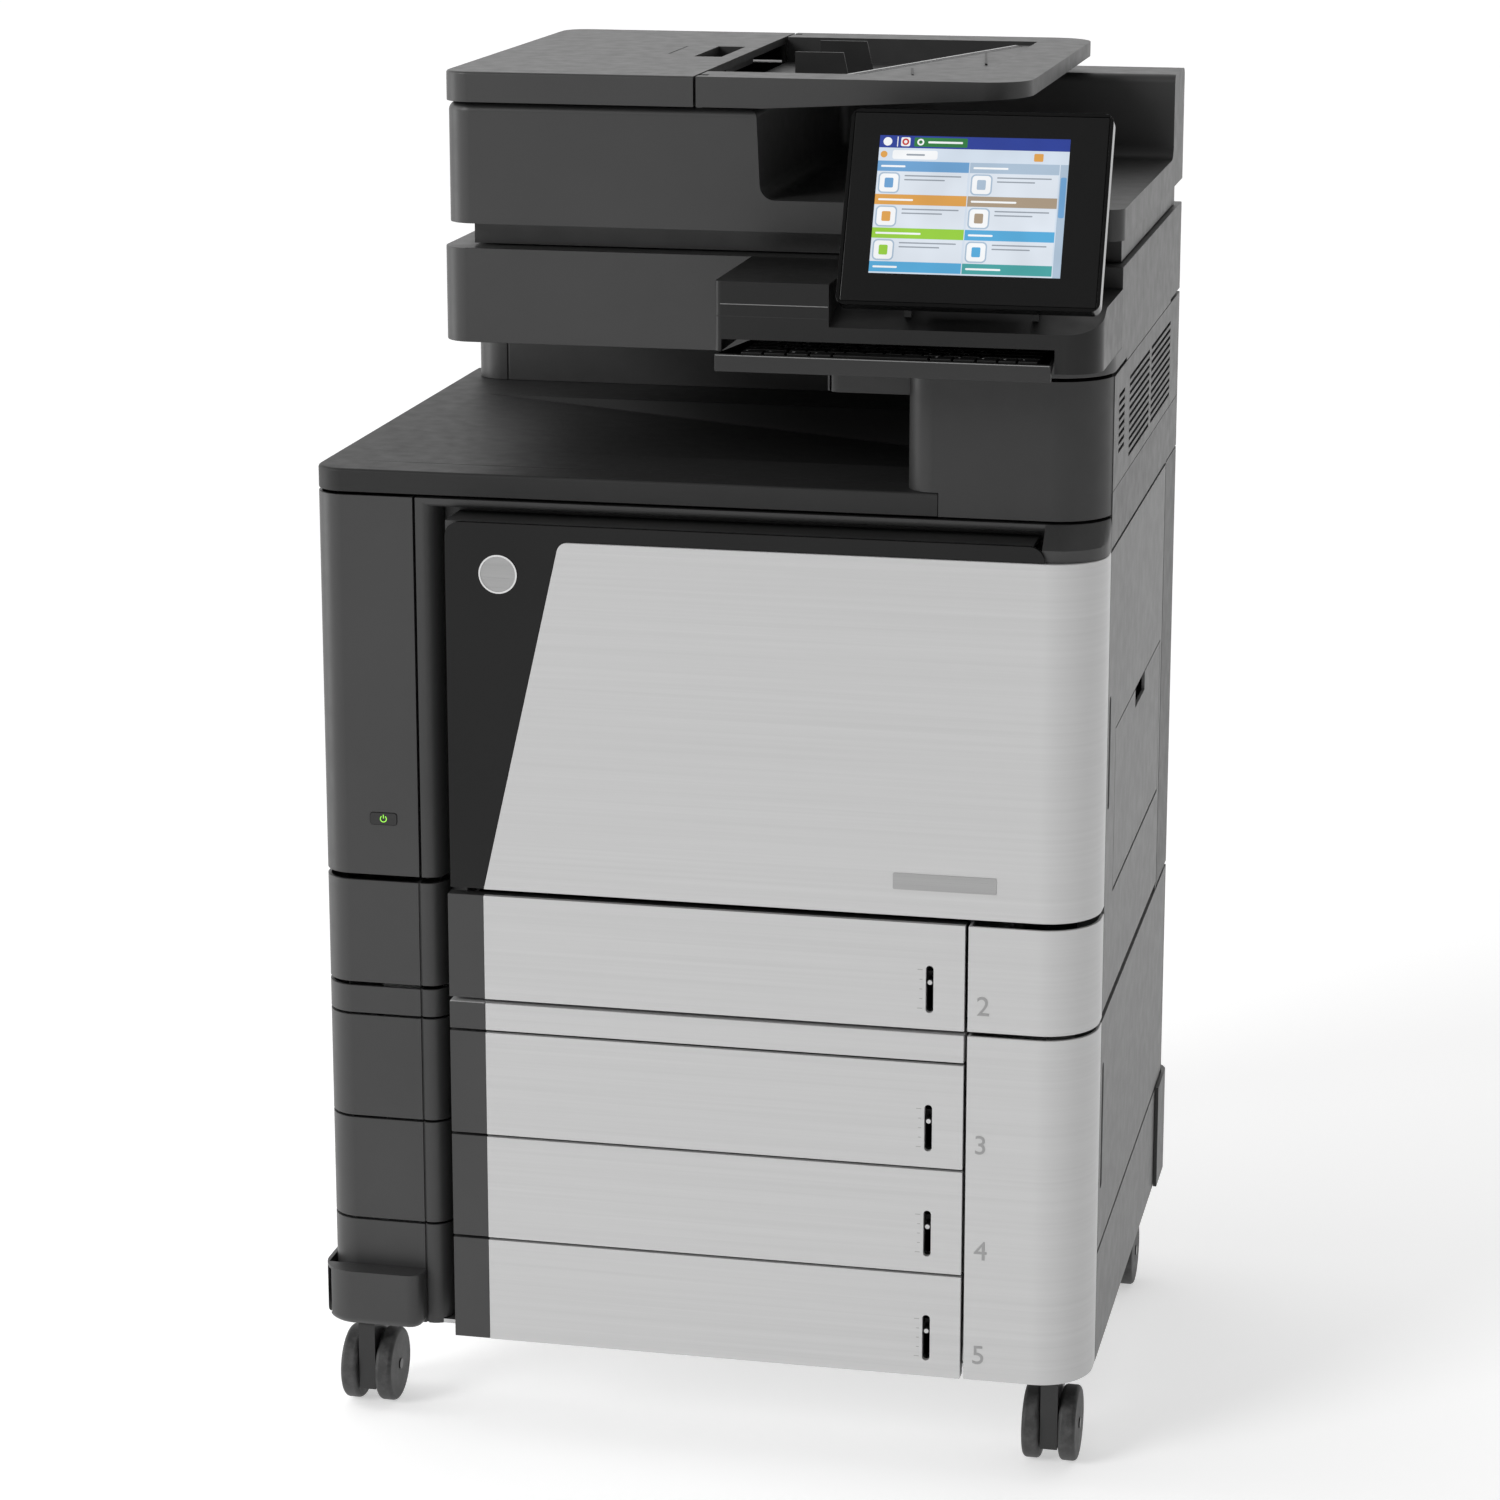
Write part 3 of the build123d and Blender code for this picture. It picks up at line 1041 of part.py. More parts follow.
def caster_yoke(x, y):
    """Swivelling caster body: stem, hood between the wheels and the axle."""
    axle_y = y - CASTER_TRAIL
    yoke = rod("Z", 24, 6, x, y, CABINET_BOTTOM)
    yoke += rod("Z", 5, 14, x, y, CABINET_BOTTOM - 5)
    half = WHEEL_SPACING / 2 - WHEEL_WIDTH / 2 - 1
    yoke += block(x - half, x + half, y - CASTER_TRAIL - 27, y + 14, 62, CABINET_BOTTOM - 5)
    yoke += block(x - half, x + half, axle_y - 27, axle_y + 12, 18, 63)
    yoke = round_along(yoke, 14, Axis.X, lambda c: c.Z > 90 and c.Y < axle_y)
    reach = WHEEL_SPACING + WHEEL_WIDTH + 2
    return yoke + rod("X", reach, AXLE_RADIUS, x, axle_y, WHEEL_RADIUS)


def caster_wheels(x, y):
    """Twin wheels of one caster, joined by a sleeve-free pair of hubs on the axle."""
    wheels = []
    for side in (-1, 1):
        wheel_x = x + side * WHEEL_SPACING / 2
        wheel = rod("X", WHEEL_WIDTH, WHEEL_RADIUS, wheel_x, y - CASTER_TRAIL, WHEEL_RADIUS)
        wheel = fillet([e for e in wheel.edges().filter_by(GeomType.CIRCLE)], 4)
        bore = rod("X", WHEEL_WIDTH + 1, AXLE_RADIUS + PIN_PLAY, wheel_x, y - CASTER_TRAIL, WHEEL_RADIUS)
        wheels.append(wheel - bore)
    return wheels


def main():
    """Builds and writes every node."""
    os.makedirs("parts", exist_ok=True)
    write("base_frame", *base_frame())
    write("engine_frame", *engine_frame())
    write("left_column_upper", left_column_upper())
    write("left_column_lower", *left_column_lower())
    write("left_side_panel", left_side_panel())
    rear, socket = rear_cover()
    panels = lower_cabinet_panels()
    tower = exit_tower()
    for bearing in exit_bearings():
        tower += bearing
    upper_axis = SIDE_DOOR_REAR - HINGE_INSET
    lower_axis = BODY_REAR - WALL - 2 - HINGE_INSET
    lug, hole = hinge_lug(upper_axis, SILVER_TOP, SILVER_TOP + 6)
    tower = tower + lug - hole
    lug, hole = hinge_lug(upper_axis, ENGINE_BOTTOM - 2, ENGINE_BOTTOM + 3)
    foot = block(HALF - WALL, HALF, upper_axis, SIDE_DOOR_REAR + SEAM + 1, ENGINE_BOTTOM, ENGINE_BOTTOM + WALL)
    rear = rear + lug + foot - hole
    lug, hole = hinge_lug(lower_axis, ENGINE_BOTTOM, ENGINE_BOTTOM + 6)
    rear = rear + lug - hole
    lug, hole = hinge_lug(lower_axis, REAR_FOOT_TOP - 8, REAR_FOOT_TOP - 2)
    panels = panels + lug - hole
    write("rear_cover", rear, socket)
    write("lower_cabinet_panels", panels)
    write("filler_strip", *filler_strip())
    write("right_corner_covers", *right_corner_covers())
    write("foot_covers", *foot_covers())
    write("output_deck", output_deck())
    write("exit_tower", tower)
    write("exit_roller", exit_roller())
    write("rear_wall", rear_wall())
    write("vent_panel", vent_panel())
    write("inner_cover", inner_cover())
    write("toner_cartridges", *toner_cartridges())
    write("drum_units", *drum_units())
    write("transfer_belt_unit", *transfer_belt_unit())
    write("fuser_unit", *fuser_unit())
    write("scanner_base", scanner_base())
    write("platen_glass", platen_glass())
    write("scan_carriage", scan_carriage())
    write("control_pod", control_pod())
    write("display_housing", display_housing())
    write("display_screen", display_screen())
    write("keyboard_tray", keyboard_tray())
    write("keyboard_keys", *keyboard_keys())
    write("feeder_base", *feeder_base())
    write("feeder_lid", feeder_lid())
    write("feeder_input_tray", feeder_input_tray())
    write("feeder_guide_front", feeder_guide(True))
    write("feeder_guide_rear", feeder_guide(False))
    write("door_frame", door_frame())
    write("door_gloss_panel", door_gloss_panel())
    write("door_silver_panel", door_silver_panel())
    for number, bottom in TRAY_BOTTOMS.items():
        write(f"tray_{number}_front", tray_front(bottom))
        write(f"tray_{number}_cassette", *tray_cassette(bottom))
        write(f"tray_{number}_pointer", tray_pointer(bottom))
    write("upper_right_door", upper_right_door())
    write("tray_1_flap", tray_1_flap())
    write("lower_right_door", lower_right_door())
    write("power_button", power_button())
    for row, y in zip(("front", "rear"), CASTER_Y):
        for side, x in zip(("left", "right"), CASTER_X):
            write(f"caster_yoke_{row}_{side}", caster_yoke(x, y))
            write(f"caster_wheels_{row}_{side}", *caster_wheels(x, y))


main()
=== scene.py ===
"""Looks of a floor-standing office photocopier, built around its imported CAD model."""

import json
import math

import bpy
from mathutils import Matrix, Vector


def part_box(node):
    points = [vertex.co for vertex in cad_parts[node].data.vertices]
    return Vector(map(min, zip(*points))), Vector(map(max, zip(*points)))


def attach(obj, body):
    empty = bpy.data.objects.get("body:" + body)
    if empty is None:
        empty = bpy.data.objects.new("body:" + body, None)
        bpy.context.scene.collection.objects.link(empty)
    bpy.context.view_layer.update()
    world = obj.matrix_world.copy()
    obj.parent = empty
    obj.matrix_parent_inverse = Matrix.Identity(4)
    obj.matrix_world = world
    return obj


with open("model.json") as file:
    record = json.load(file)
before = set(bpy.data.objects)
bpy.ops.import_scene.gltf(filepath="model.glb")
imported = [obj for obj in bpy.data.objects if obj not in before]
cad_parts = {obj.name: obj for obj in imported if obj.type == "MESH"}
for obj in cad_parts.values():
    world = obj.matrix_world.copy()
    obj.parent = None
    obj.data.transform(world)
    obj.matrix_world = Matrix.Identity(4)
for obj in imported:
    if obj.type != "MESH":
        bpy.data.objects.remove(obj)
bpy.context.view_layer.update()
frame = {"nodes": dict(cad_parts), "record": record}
NODES = frame["nodes"]

MM = 0.001
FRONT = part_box("tray_3_front")[0].y
TRAYS = (2, 3, 4, 5)


def at(x, y, z):
    """Millimetres across, back from the tray fronts and up from the floor, as a point of the frame."""
    return Vector((x * MM, FRONT + y * MM, z * MM))


# ---------------------------------------------------------------- material helpers


def new_material(name):
    """An empty node material: its tree and its shader."""
    made = bpy.data.materials.new(name)
    made.use_nodes = True
    return made, made.node_tree, made.node_tree.nodes["Principled BSDF"]


def add(tree, kind, values=None, **settings):
    """Adds one shader node with its settings and unlinked input values."""
    node = tree.nodes.new("ShaderNode" + kind)
    for key, value in settings.items():
        setattr(node, key, value)
    for key, value in (values or {}).items():
        node.inputs[key].default_value = value
    return node


def noise(tree, stretch, detail=2.0, rough=0.5):
    """Noise in the object's own coordinates; stretch is its cycles per metre along x, y and z."""
    place = add(tree, "TexCoord")
    scaled = add(tree, "Mapping", {"Scale": stretch})
    made = add(tree, "TexNoise", {"Scale": 1.0, "Detail": detail, "Roughness": rough})
    tree.links.new(place.outputs["Object"], scaled.inputs["Vector"])
    tree.links.new(scaled.outputs["Vector"], made.inputs["Vector"])
    return made.outputs["Fac"]


def ramp(tree, source, low, high, out_low=0.0, out_high=1.0):
    """Maps a value from one range to another, clamped."""
    made = add(tree, "MapRange", {"From Min": low, "From Max": high, "To Min": out_low, "To Max": out_high})
    tree.links.new(source, made.inputs["Value"])
    return made.outputs["Result"]


def blend_colours(tree, share, first, second):
    """Mixes two colours, each a tuple or a socket, by a value."""
    mix = add(tree, "Mix", data_type="RGBA")
    tree.links.new(share, mix.inputs["Factor"])
    for socket, colour in ((mix.inputs[6], first), (mix.inputs[7], second)):
        if isinstance(colour, tuple):
            socket.default_value = (*colour, 1.0)
        else:
            tree.links.new(colour, socket)
    return mix.outputs[2]


def bump(tree, shader, height, strength, distance):
    """Drives the shader's normal from a height."""
    made = add(tree, "Bump", {"Strength": strength, "Distance": distance})
    tree.links.new(height, made.inputs["Height"])
    tree.links.new(made.outputs["Normal"], shader.inputs["Normal"])


def grey(level, warm=0.0):
    """A near-neutral linear colour."""
    return (level * (1 + warm), level, level * (1 - warm))


def moulded(name, dark, light, rough, grain=1500.0, depth=0.05, specular=0.5, coat=0.0):
    """Moulded plastic: fine spark-eroded grain, faint blotches in colour and gloss."""
    made, tree, shader = new_material(name)
    blotch = ramp(tree, noise(tree, (7, 7, 7), 4.0), 0.3, 0.7)
    tree.links.new(blend_colours(tree, blotch, dark, light), shader.inputs["Base Color"])
    gloss = ramp(tree, noise(tree, (60, 60, 60), 3.0), 0.3, 0.7, rough - 0.03, rough + 0.04)
    tree.links.new(gloss, shader.inputs["Roughness"])
    bump(tree, shader, noise(tree, (grain, grain, grain), 2.0), depth, 0.0004)
    shader.inputs["Specular IOR Level"].default_value = specular
    shader.inputs["Coat Weight"].default_value = coat
    shader.inputs["Coat Roughness"].default_value = 0.06
    return made


def brushed(name, dark, light, rough, metal, lines=(5.0, 5.0, 2600.0)):
    """Lacquered metal film with fine level brush lines."""
    made, tree, shader = new_material(name)
    line = noise(tree, lines, 3.0, 0.6)
    wide = noise(tree, (lines[0] * 0.5, lines[1] * 0.5, lines[2] * 0.12), 2.0)
    both = add(tree, "Math", {1: 0.5}, operation="MULTIPLY_ADD")
    tree.links.new(line, both.inputs[0])
    tree.links.new(ramp(tree, wide, 0.2, 0.8, 0.0, 0.5), both.inputs[2])
    shade = ramp(tree, both.outputs[0], 0.25, 0.75)
    tree.links.new(blend_colours(tree, shade, dark, light), shader.inputs["Base Color"])
    tree.links.new(ramp(tree, line, 0.3, 0.7, rough - 0.05, rough + 0.05), shader.inputs["Roughness"])
    bump(tree, shader, line, 0.05, 0.0002)
    shader.inputs["Metallic"].default_value = metal
    return made


def glowing(name, low, high, strength, cycles=(30.0, 1.0, 30.0)):
    """A lit patch of the display with a faint change of tone across it."""
    made, tree, shader = new_material(name)
    share = ramp(tree, noise(tree, cycles, 1.0), 0.3, 0.7)
    colour = blend_colours(tree, share, low, high)
    tree.links.new(colour, shader.inputs["Emission Color"])
    shader.inputs["Base Color"].default_value = (0.01, 0.01, 0.01, 1)
    shader.inputs["Emission Strength"].default_value = strength
    shader.inputs["Roughness"].default_value = 0.25
    return made


def lit(name, red, green, blue):
    """A lit display colour, given as it looks on the screen from 0 to 255."""
    tone = [(value / 255) ** 2.2 for value in (red, green, blue)]
    return glowing(name, tuple(0.94 * t for t in tone), tuple(1.04 * t for t in tone), 0.95)


def clear_glass(name):
    """The scanner's pane: green-tinted glass with faint smears in its gloss."""
    made, tree, shader = new_material(name)
    smear = noise(tree, (12, 3, 12), 4.0)
    tree.links.new(ramp(tree, smear, 0.3, 0.8, 0.02, 0.09), shader.inputs["Roughness"])
    tint = blend_colours(tree, smear, (0.80, 0.90, 0.87), (0.86, 0.95, 0.92))
    tree.links.new(tint, shader.inputs["Base Color"])
    shader.inputs["Transmission Weight"].default_value = 1.0
    shader.inputs["IOR"].default_value = 1.5
    return made


def worn_tread(name):
    """Caster tread: dark polyurethane, scuffed lighter in patches and with dust."""
    made, tree, shader = new_material(name)
    scuff = ramp(tree, noise(tree, (90, 90, 90), 6.0, 0.65), 0.42, 0.68)
    tree.links.new(blend_colours(tree, scuff, grey(0.028), grey(0.075)), shader.inputs["Base Color"])
    tree.links.new(ramp(tree, scuff, 0.0, 1.0, 0.5, 0.75), shader.inputs["Roughness"])
    bump(tree, shader, noise(tree, (700, 700, 700), 4.0), 0.25, 0.0005)
    return made


def sheet_steel(name, dark, light, rough=0.35):
    """Zinc-plated sheet: large soft spangle and fine rolling lines."""
    made, tree, shader = new_material(name)
    place = add(tree, "TexCoord")
    spangle = add(tree, "TexVoronoi", {"Scale": 55.0})
    tree.links.new(place.outputs["Object"], spangle.inputs["Vector"])
    share = ramp(tree, spangle.outputs["Distance"], 0.0, 0.9)
    tree.links.new(blend_colours(tree, share, dark, light), shader.inputs["Base Color"])
    tree.links.new(ramp(tree, share, 0.0, 1.0, rough - 0.06, rough + 0.08), shader.inputs["Roughness"])
    bump(tree, shader, noise(tree, (9, 1400, 9), 2.0), 0.04, 0.0002)
    shader.inputs["Metallic"].default_value = 0.85
    return made


M = {
    "dark_plastic": moulded("dark_plastic", grey(0.034), grey(0.040), 0.42),
    "grip_black": moulded("grip_black", grey(0.012), grey(0.016), 0.45, 1200.0, 0.06),
    "gloss_black": moulded("gloss_black", grey(0.004), grey(0.006), 0.12, 300.0, 0.004, 0.25),
    "silver_front": brushed("silver_front", grey(0.545), grey(0.59), 0.42, 0.2),
    # Side panels: their plastic is only slightly darker than the front; most of this darkness is painted
    # shade for the right side, which faces away from the light.
    "silver_side": moulded("silver_side", grey(0.155), grey(0.172), 0.45, 1600.0, 0.05, 0.3),
    "frame_steel": sheet_steel("frame_steel", grey(0.42), grey(0.56)),
    "platen_glass": clear_glass("platen_glass"),
    "screen": moulded("screen", grey(0.004), grey(0.006), 0.08, 200.0, 0.002, 0.5),
    "keycaps": moulded("keycaps", grey(0.013), grey(0.019), 0.38, 900.0, 0.05),
    "wheel": worn_tread("wheel"),
    "caster_body": moulded("caster_body", grey(0.010), grey(0.014), 0.30, 1000.0, 0.04),
    "toner": moulded("toner", grey(0.030), grey(0.040), 0.45),
    "drum": moulded("drum", (0.05, 0.055, 0.06), (0.065, 0.07, 0.075), 0.5),
    "belt": moulded("belt", grey(0.014), grey(0.020), 0.15, 250.0, 0.01),
    "fuser": sheet_steel("fuser", (0.26, 0.24, 0.22), (0.36, 0.34, 0.32), 0.45),
    "rear_steel": moulded("rear_steel", grey(0.045), grey(0.055), 0.48, 700.0, 0.12),
    "chrome": brushed("chrome", grey(0.62), grey(0.74), 0.18, 0.95, (30.0, 30.0, 30.0)),
    "plate": brushed("plate", grey(0.34), grey(0.40), 0.32, 0.5, (9.0, 9.0, 1500.0)),
    "mark_grey": moulded("mark_grey", grey(0.30), grey(0.36), 0.5),
    # White for key legends and pointer dots, and also for the painted highlight strip along the feeder
    # shelf's edge.
    "mark_white": moulded("mark_white", grey(0.55), grey(0.62), 0.5),
    "seam": moulded("seam", grey(0.004), grey(0.006), 0.7, 500.0, 0.05),
    "led": glowing("led", (0.25, 0.8, 0.05), (0.45, 0.95, 0.1), 1.4),
    "roller_rubber": moulded("roller_rubber", grey(0.030), grey(0.042), 0.6, 900.0, 0.2),
    "pod_black": moulded("pod_black", grey(0.008), grey(0.011), 0.38, 1500.0, 0.04, 0.3),
    "tower_plastic": moulded("tower_plastic", grey(0.017), grey(0.021), 0.42),
    # Output deck: a darker copy of the dark plastic, painted shade for the deck lying under the scanner.
    "shaded_deck_plastic": moulded("shaded_deck_plastic", grey(0.021), grey(0.026), 0.5, 1500.0, 0.05, 0.25),
    "numeral_grey": moulded("numeral_grey", grey(0.30), grey(0.34), 0.4),
    "grip_grey": moulded("grip_grey", grey(0.034), grey(0.040), 0.42),
    # Light grey for the pod's slot line and for painted highlights along the keyboard lip, the pod's top
    # front edge and the feeder shelf's edge.
    "line_light": moulded("line_light", grey(0.20), grey(0.25), 0.4),
    "line_dark": moulded("line_dark", grey(0.006), grey(0.008), 0.5),
    "ui_navy": lit("ui_navy", 40, 62, 150),
    "ui_pale": lit("ui_pale", 212, 224, 238),
    "ui_tile": lit("ui_tile", 222, 230, 240),
    "ui_blue": lit("ui_blue", 108, 160, 208),
    "ui_mist": lit("ui_mist", 170, 190, 210),
    "ui_tan": lit("ui_tan", 222, 160, 78),
    "ui_brown": lit("ui_brown", 168, 150, 128),
    "ui_green": lit("ui_green", 150, 206, 62),
    "ui_sky": lit("ui_sky", 84, 168, 216),
    "ui_teal": lit("ui_teal", 70, 160, 160),
    "ui_white": lit("ui_white", 246, 248, 250),
    "ui_grey": lit("ui_grey", 150, 158, 168),
    "ui_red": lit("ui_red", 200, 50, 44),
    "ui_leaf": lit("ui_leaf", 46, 120, 62),
}

# ---------------------------------------------------------------- CAD nodes: finish and rounded edges

SLOT_OF = {row["node"]: row["material_slot"] for row in frame["record"]["subparts"]}
EDGE = {"default": 0.0008, "keyboard_keys": 0.0006, "display_housing": 0.0012}
SHARP = math.radians(28)


def smooth_by_angle():
    """Node group that shades smooth and keeps edges above an angle sharp."""
    group = bpy.data.node_groups.new("smooth_by_angle", "GeometryNodeTree")
    group.interface.new_socket("Geometry", in_out="INPUT", socket_type="NodeSocketGeometry")
    group.interface.new_socket("Geometry", in_out="OUTPUT", socket_type="NodeSocketGeometry")
    start = group.nodes.new("NodeGroupInput")
    end = group.nodes.new("NodeGroupOutput")
    faces = group.nodes.new("GeometryNodeSetShadeSmooth")
    edges = group.nodes.new("GeometryNodeSetShadeSmooth")
    angle = group.nodes.new("GeometryNodeInputMeshEdgeAngle")
    above = group.nodes.new("FunctionNodeCompare")
    faces.domain = "FACE"
    edges.domain = "EDGE"
    edges.inputs["Shade Smooth"].default_value = False
    above.operation = "GREATER_THAN"
    above.inputs[1].default_value = SHARP
    group.links.new(start.outputs[0], faces.inputs["Geometry"])
    group.links.new(faces.outputs["Geometry"], edges.inputs["Geometry"])
    group.links.new(angle.outputs["Unsigned Angle"], above.inputs[0])
    group.links.new(above.outputs["Result"], edges.inputs["Selection"])
    group.links.new(edges.outputs["Geometry"], end.inputs[0])
    return group


SMOOTH = smooth_by_angle()


def finish_node(name, material):
    """Gives a CAD node its material and small rounded edges, leaving its own mesh alone."""
    thing = NODES[name]
    thing.data.materials.clear()
    thing.data.materials.append(material)
    weld = thing.modifiers.new("weld", "WELD")
    weld.merge_threshold = 1e-6
    flat = thing.modifiers.new("flat", "DECIMATE")
    flat.decimate_type = "DISSOLVE"
    flat.angle_limit = math.radians(0.5)
    rounded = thing.modifiers.new("rounded", "BEVEL")
    rounded.width = EDGE.get(name, EDGE["default"])
    rounded.segments = 2
    rounded.limit_method = "ANGLE"
    rounded.angle_limit = SHARP
    rounded.use_clamp_overlap = True
    soft = thing.modifiers.new("soft", "NODES")
    soft.node_group = SMOOTH
    even = thing.modifiers.new("even", "WEIGHTED_NORMAL")
    even.keep_sharp = True


# The output deck's darker finish is painted shade under the scanner.
FINISH_OF = {"output_deck": "shaded_deck_plastic", "control_pod": "pod_black", "exit_tower": "tower_plastic"}
FINISH_OF.update({f"tray_{tray}_cassette": "grip_grey" for tray in TRAYS})
for node_name, slot_name in SLOT_OF.items():
    finish_node(node_name, M[FINISH_OF.get(node_name, slot_name)])

# ---------------------------------------------------------------- pieces drawn on flat faces

X_AXIS, Y_AXIS, Z_AXIS = Vector((1, 0, 0)), Vector((0, 1, 0)), Vector((0, 0, 1))


def front_face(y):
    """The plane that faces the user at a depth: across, up."""
    return at(0, y, 0), X_AXIS, Z_AXIS


def top_face(z):
    """A level plane at a height: across, back."""
    return at(0, 0, z), X_AXIS, Y_AXIS


def right_face(x):
    """The plane that faces right: back, up."""
    return at(x, 0, 0), Y_AXIS, Z_AXIS


def slabs(name, face, outlines, thick, finish, body, sink=0.15):
    """Thin flat shapes with given outlines in millimetres on a plane, as one piece."""
    origin, right, up = face
    out = right.cross(up)
    points, faces = [], []
    for outline in outlines:
        count, first = len(outline), len(points)
        for depth in (-sink, thick):
            points += [origin + (right * u + up * v + out * depth) * MM for u, v in outline]
        faces.append([first + i for i in reversed(range(count))])
        faces.append([first + count + i for i in range(count)])
        for i in range(count):
            j = (i + 1) % count
            faces.append((first + i, first + j, first + count + j, first + count + i))
    mesh = bpy.data.meshes.new(name)
    mesh.from_pydata(points, [], faces)
    mesh.materials.append(M[finish])
    thing = bpy.data.objects.new(name, mesh)
    bpy.context.scene.collection.objects.link(thing)
    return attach(thing, body)


def rect(u0, u1, v0, v1, radius=0.0, steps=5):
    """Outline of a rectangle, with rounded corners if a radius is given."""
    if radius <= 0:
        return [(u0, v0), (u1, v0), (u1, v1), (u0, v1)]
    centres = (
        (u1 - radius, v0 + radius, -90),
        (u1 - radius, v1 - radius, 0),
        (u0 + radius, v1 - radius, 90),
        (u0 + radius, v0 + radius, 180),
    )
    turns = [(u, v, math.radians(a + 90 * k / steps)) for u, v, a in centres for k in range(steps + 1)]
    return [(u + radius * math.cos(t), v + radius * math.sin(t)) for u, v, t in turns]


def disc(u, v, radius, steps=48):
    """Outline of a round disc."""
    turns = [math.tau * k / steps for k in range(steps)]
    return [(u + radius * math.cos(t), v + radius * math.sin(t)) for t in turns]


def arc(u, v, inner, outer, start, end, steps=24):
    """Outline of part of a ring, between two angles in degrees."""
    turns = [math.radians(start + (end - start) * k / steps) for k in range(steps + 1)]
    far = [(u + outer * math.cos(t), v + outer * math.sin(t)) for t in turns]
    near = [(u + inner * math.cos(t), v + inner * math.sin(t)) for t in reversed(turns)]
    return far + near


def stroke(points, width):
    """Outlines of thin straight strokes joining points."""
    made = []
    for (u0, v0), (u1, v1) in zip(points, points[1:]):
        length = math.hypot(u1 - u0, v1 - v0)
        across, along = (v0 - v1) / length * width / 2, (u1 - u0) / length * width / 2
        made.append([(u0 - across, v0 - along), (u1 - across, v1 - along), (u1 + across, v1 + along),
                     (u0 + across, v0 + along)])
    return made


def numeral(name, digit, spot, height, thick, finish, body):
    """One raised digit on a face that looks towards the user; spot is its lower left corner."""
    curve = bpy.data.curves.new(name, "FONT")
    curve.body = digit
    curve.extrude = thick * MM / 2
    lettering = bpy.data.objects.new(name + "_curve", curve)
    bpy.context.scene.collection.objects.link(lettering)
    bpy.context.view_layer.update()
    mesh = bpy.data.meshes.new_from_object(lettering)
    bpy.data.objects.remove(lettering)
    low = [min(v.co[i] for v in mesh.vertices) for i in range(2)]
    tall = max(v.co.y for v in mesh.vertices) - low[1]
    scale = height * MM / tall
    for vertex in mesh.vertices:
        across, upward, out = vertex.co
        vertex.co = Vector(spot) + Vector(((across - low[0]) * scale, -out, (upward - low[1]) * scale))
    mesh.materials.clear()
    mesh.materials.append(M[finish])
    thing = bpy.data.objects.new(name, mesh)
    bpy.context.scene.collection.objects.link(thing)
    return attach(thing, body)


# ---------------------------------------------------------------- badges, numerals and gauge marks

GLOSS_Y = (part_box("door_gloss_panel")[0].y - FRONT) / MM
SILVER_Y = (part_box("door_silver_panel")[0].y - FRONT) / MM
CORNER_Y = (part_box("right_corner_covers")[0].y - FRONT) / MM
GAUGE_X, GAUGE_LOW, GAUGE_HIGH = 214.0, 15.3, 59.5
GAUGE_TICKS = 5
POINTER_HEIGHT = 43.4
POINTER_DEPTH = 2.0
NUMERAL_X, NUMERAL_RISE, NUMERAL_HEIGHT = 257.0, 16.0, 17.6
BADGE = (-180.3, 831.6)
BADGE_RADIUS = 17.7
BUTTON = (-299.0, 591.3)


def door_marks():
    """Blank round badge with a bright ring, and a blank name plate."""
    face = [disc(*BADGE, BADGE_RADIUS - 1.3)]
    slabs("badge_disc", front_face(GLOSS_Y), face, 0.8, "plate", "front_door")
    ring = [arc(*BADGE, BADGE_RADIUS - 1.5, BADGE_RADIUS, start, start + 180) for start in (0, 180)]
    slabs("badge_ring", front_face(GLOSS_Y), ring, 1.3, "chrome", "front_door")
    plate = rect(180, 273, 562, 577, 1.2)
    slabs("name_plate", front_face(SILVER_Y), [plate], 0.5, "plate", "front_door")


def tray_marks():
    """Raised tray numerals, gauge tick marks and the pointers' light dots."""
    for tray in TRAYS:
        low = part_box(f"tray_{tray}_front")[0].z / MM
        spot = at(NUMERAL_X, CORNER_Y + 0.1, low + NUMERAL_RISE)
        numeral(f"numeral_{tray}", str(tray), spot, NUMERAL_HEIGHT, 0.9, "numeral_grey", "cabinet")
        right = GAUGE_X - 6.5
        last = GAUGE_TICKS - 1
        ticks = []
        for step in range(GAUGE_TICKS):
            z = low + GAUGE_LOW + 4 + (GAUGE_HIGH - GAUGE_LOW - 8) * step / last
            long = 4.5 if step in (0, last) else 2.6
            ticks.append(rect(right - long, right, z - 0.35, z + 0.35))
        slabs(f"gauge_ticks_{tray}", front_face(0), ticks, 0.08, "mark_grey", f"tray_{tray}")
        dot = [disc(GAUGE_X, low + POINTER_HEIGHT, 2.1, 24)]
        face = front_face(POINTER_DEPTH)
        slabs(f"pointer_dot_{tray}", face, dot, 0.3, "mark_white", f"pointer_{tray}")


def button_mark():
    """Lit power symbol on the power key."""
    face = front_face((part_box("power_button")[0].y - FRONT) / MM)
    x, z = BUTTON
    symbol = [arc(x, z, 2.5, 3.3, -235, 55), rect(x - 0.4, x + 0.4, z + 0.4, z + 4.0)]
    slabs("power_symbol", face, symbol, 0.12, "led", "power_button")


# ---------------------------------------------------------------- display and keyboard

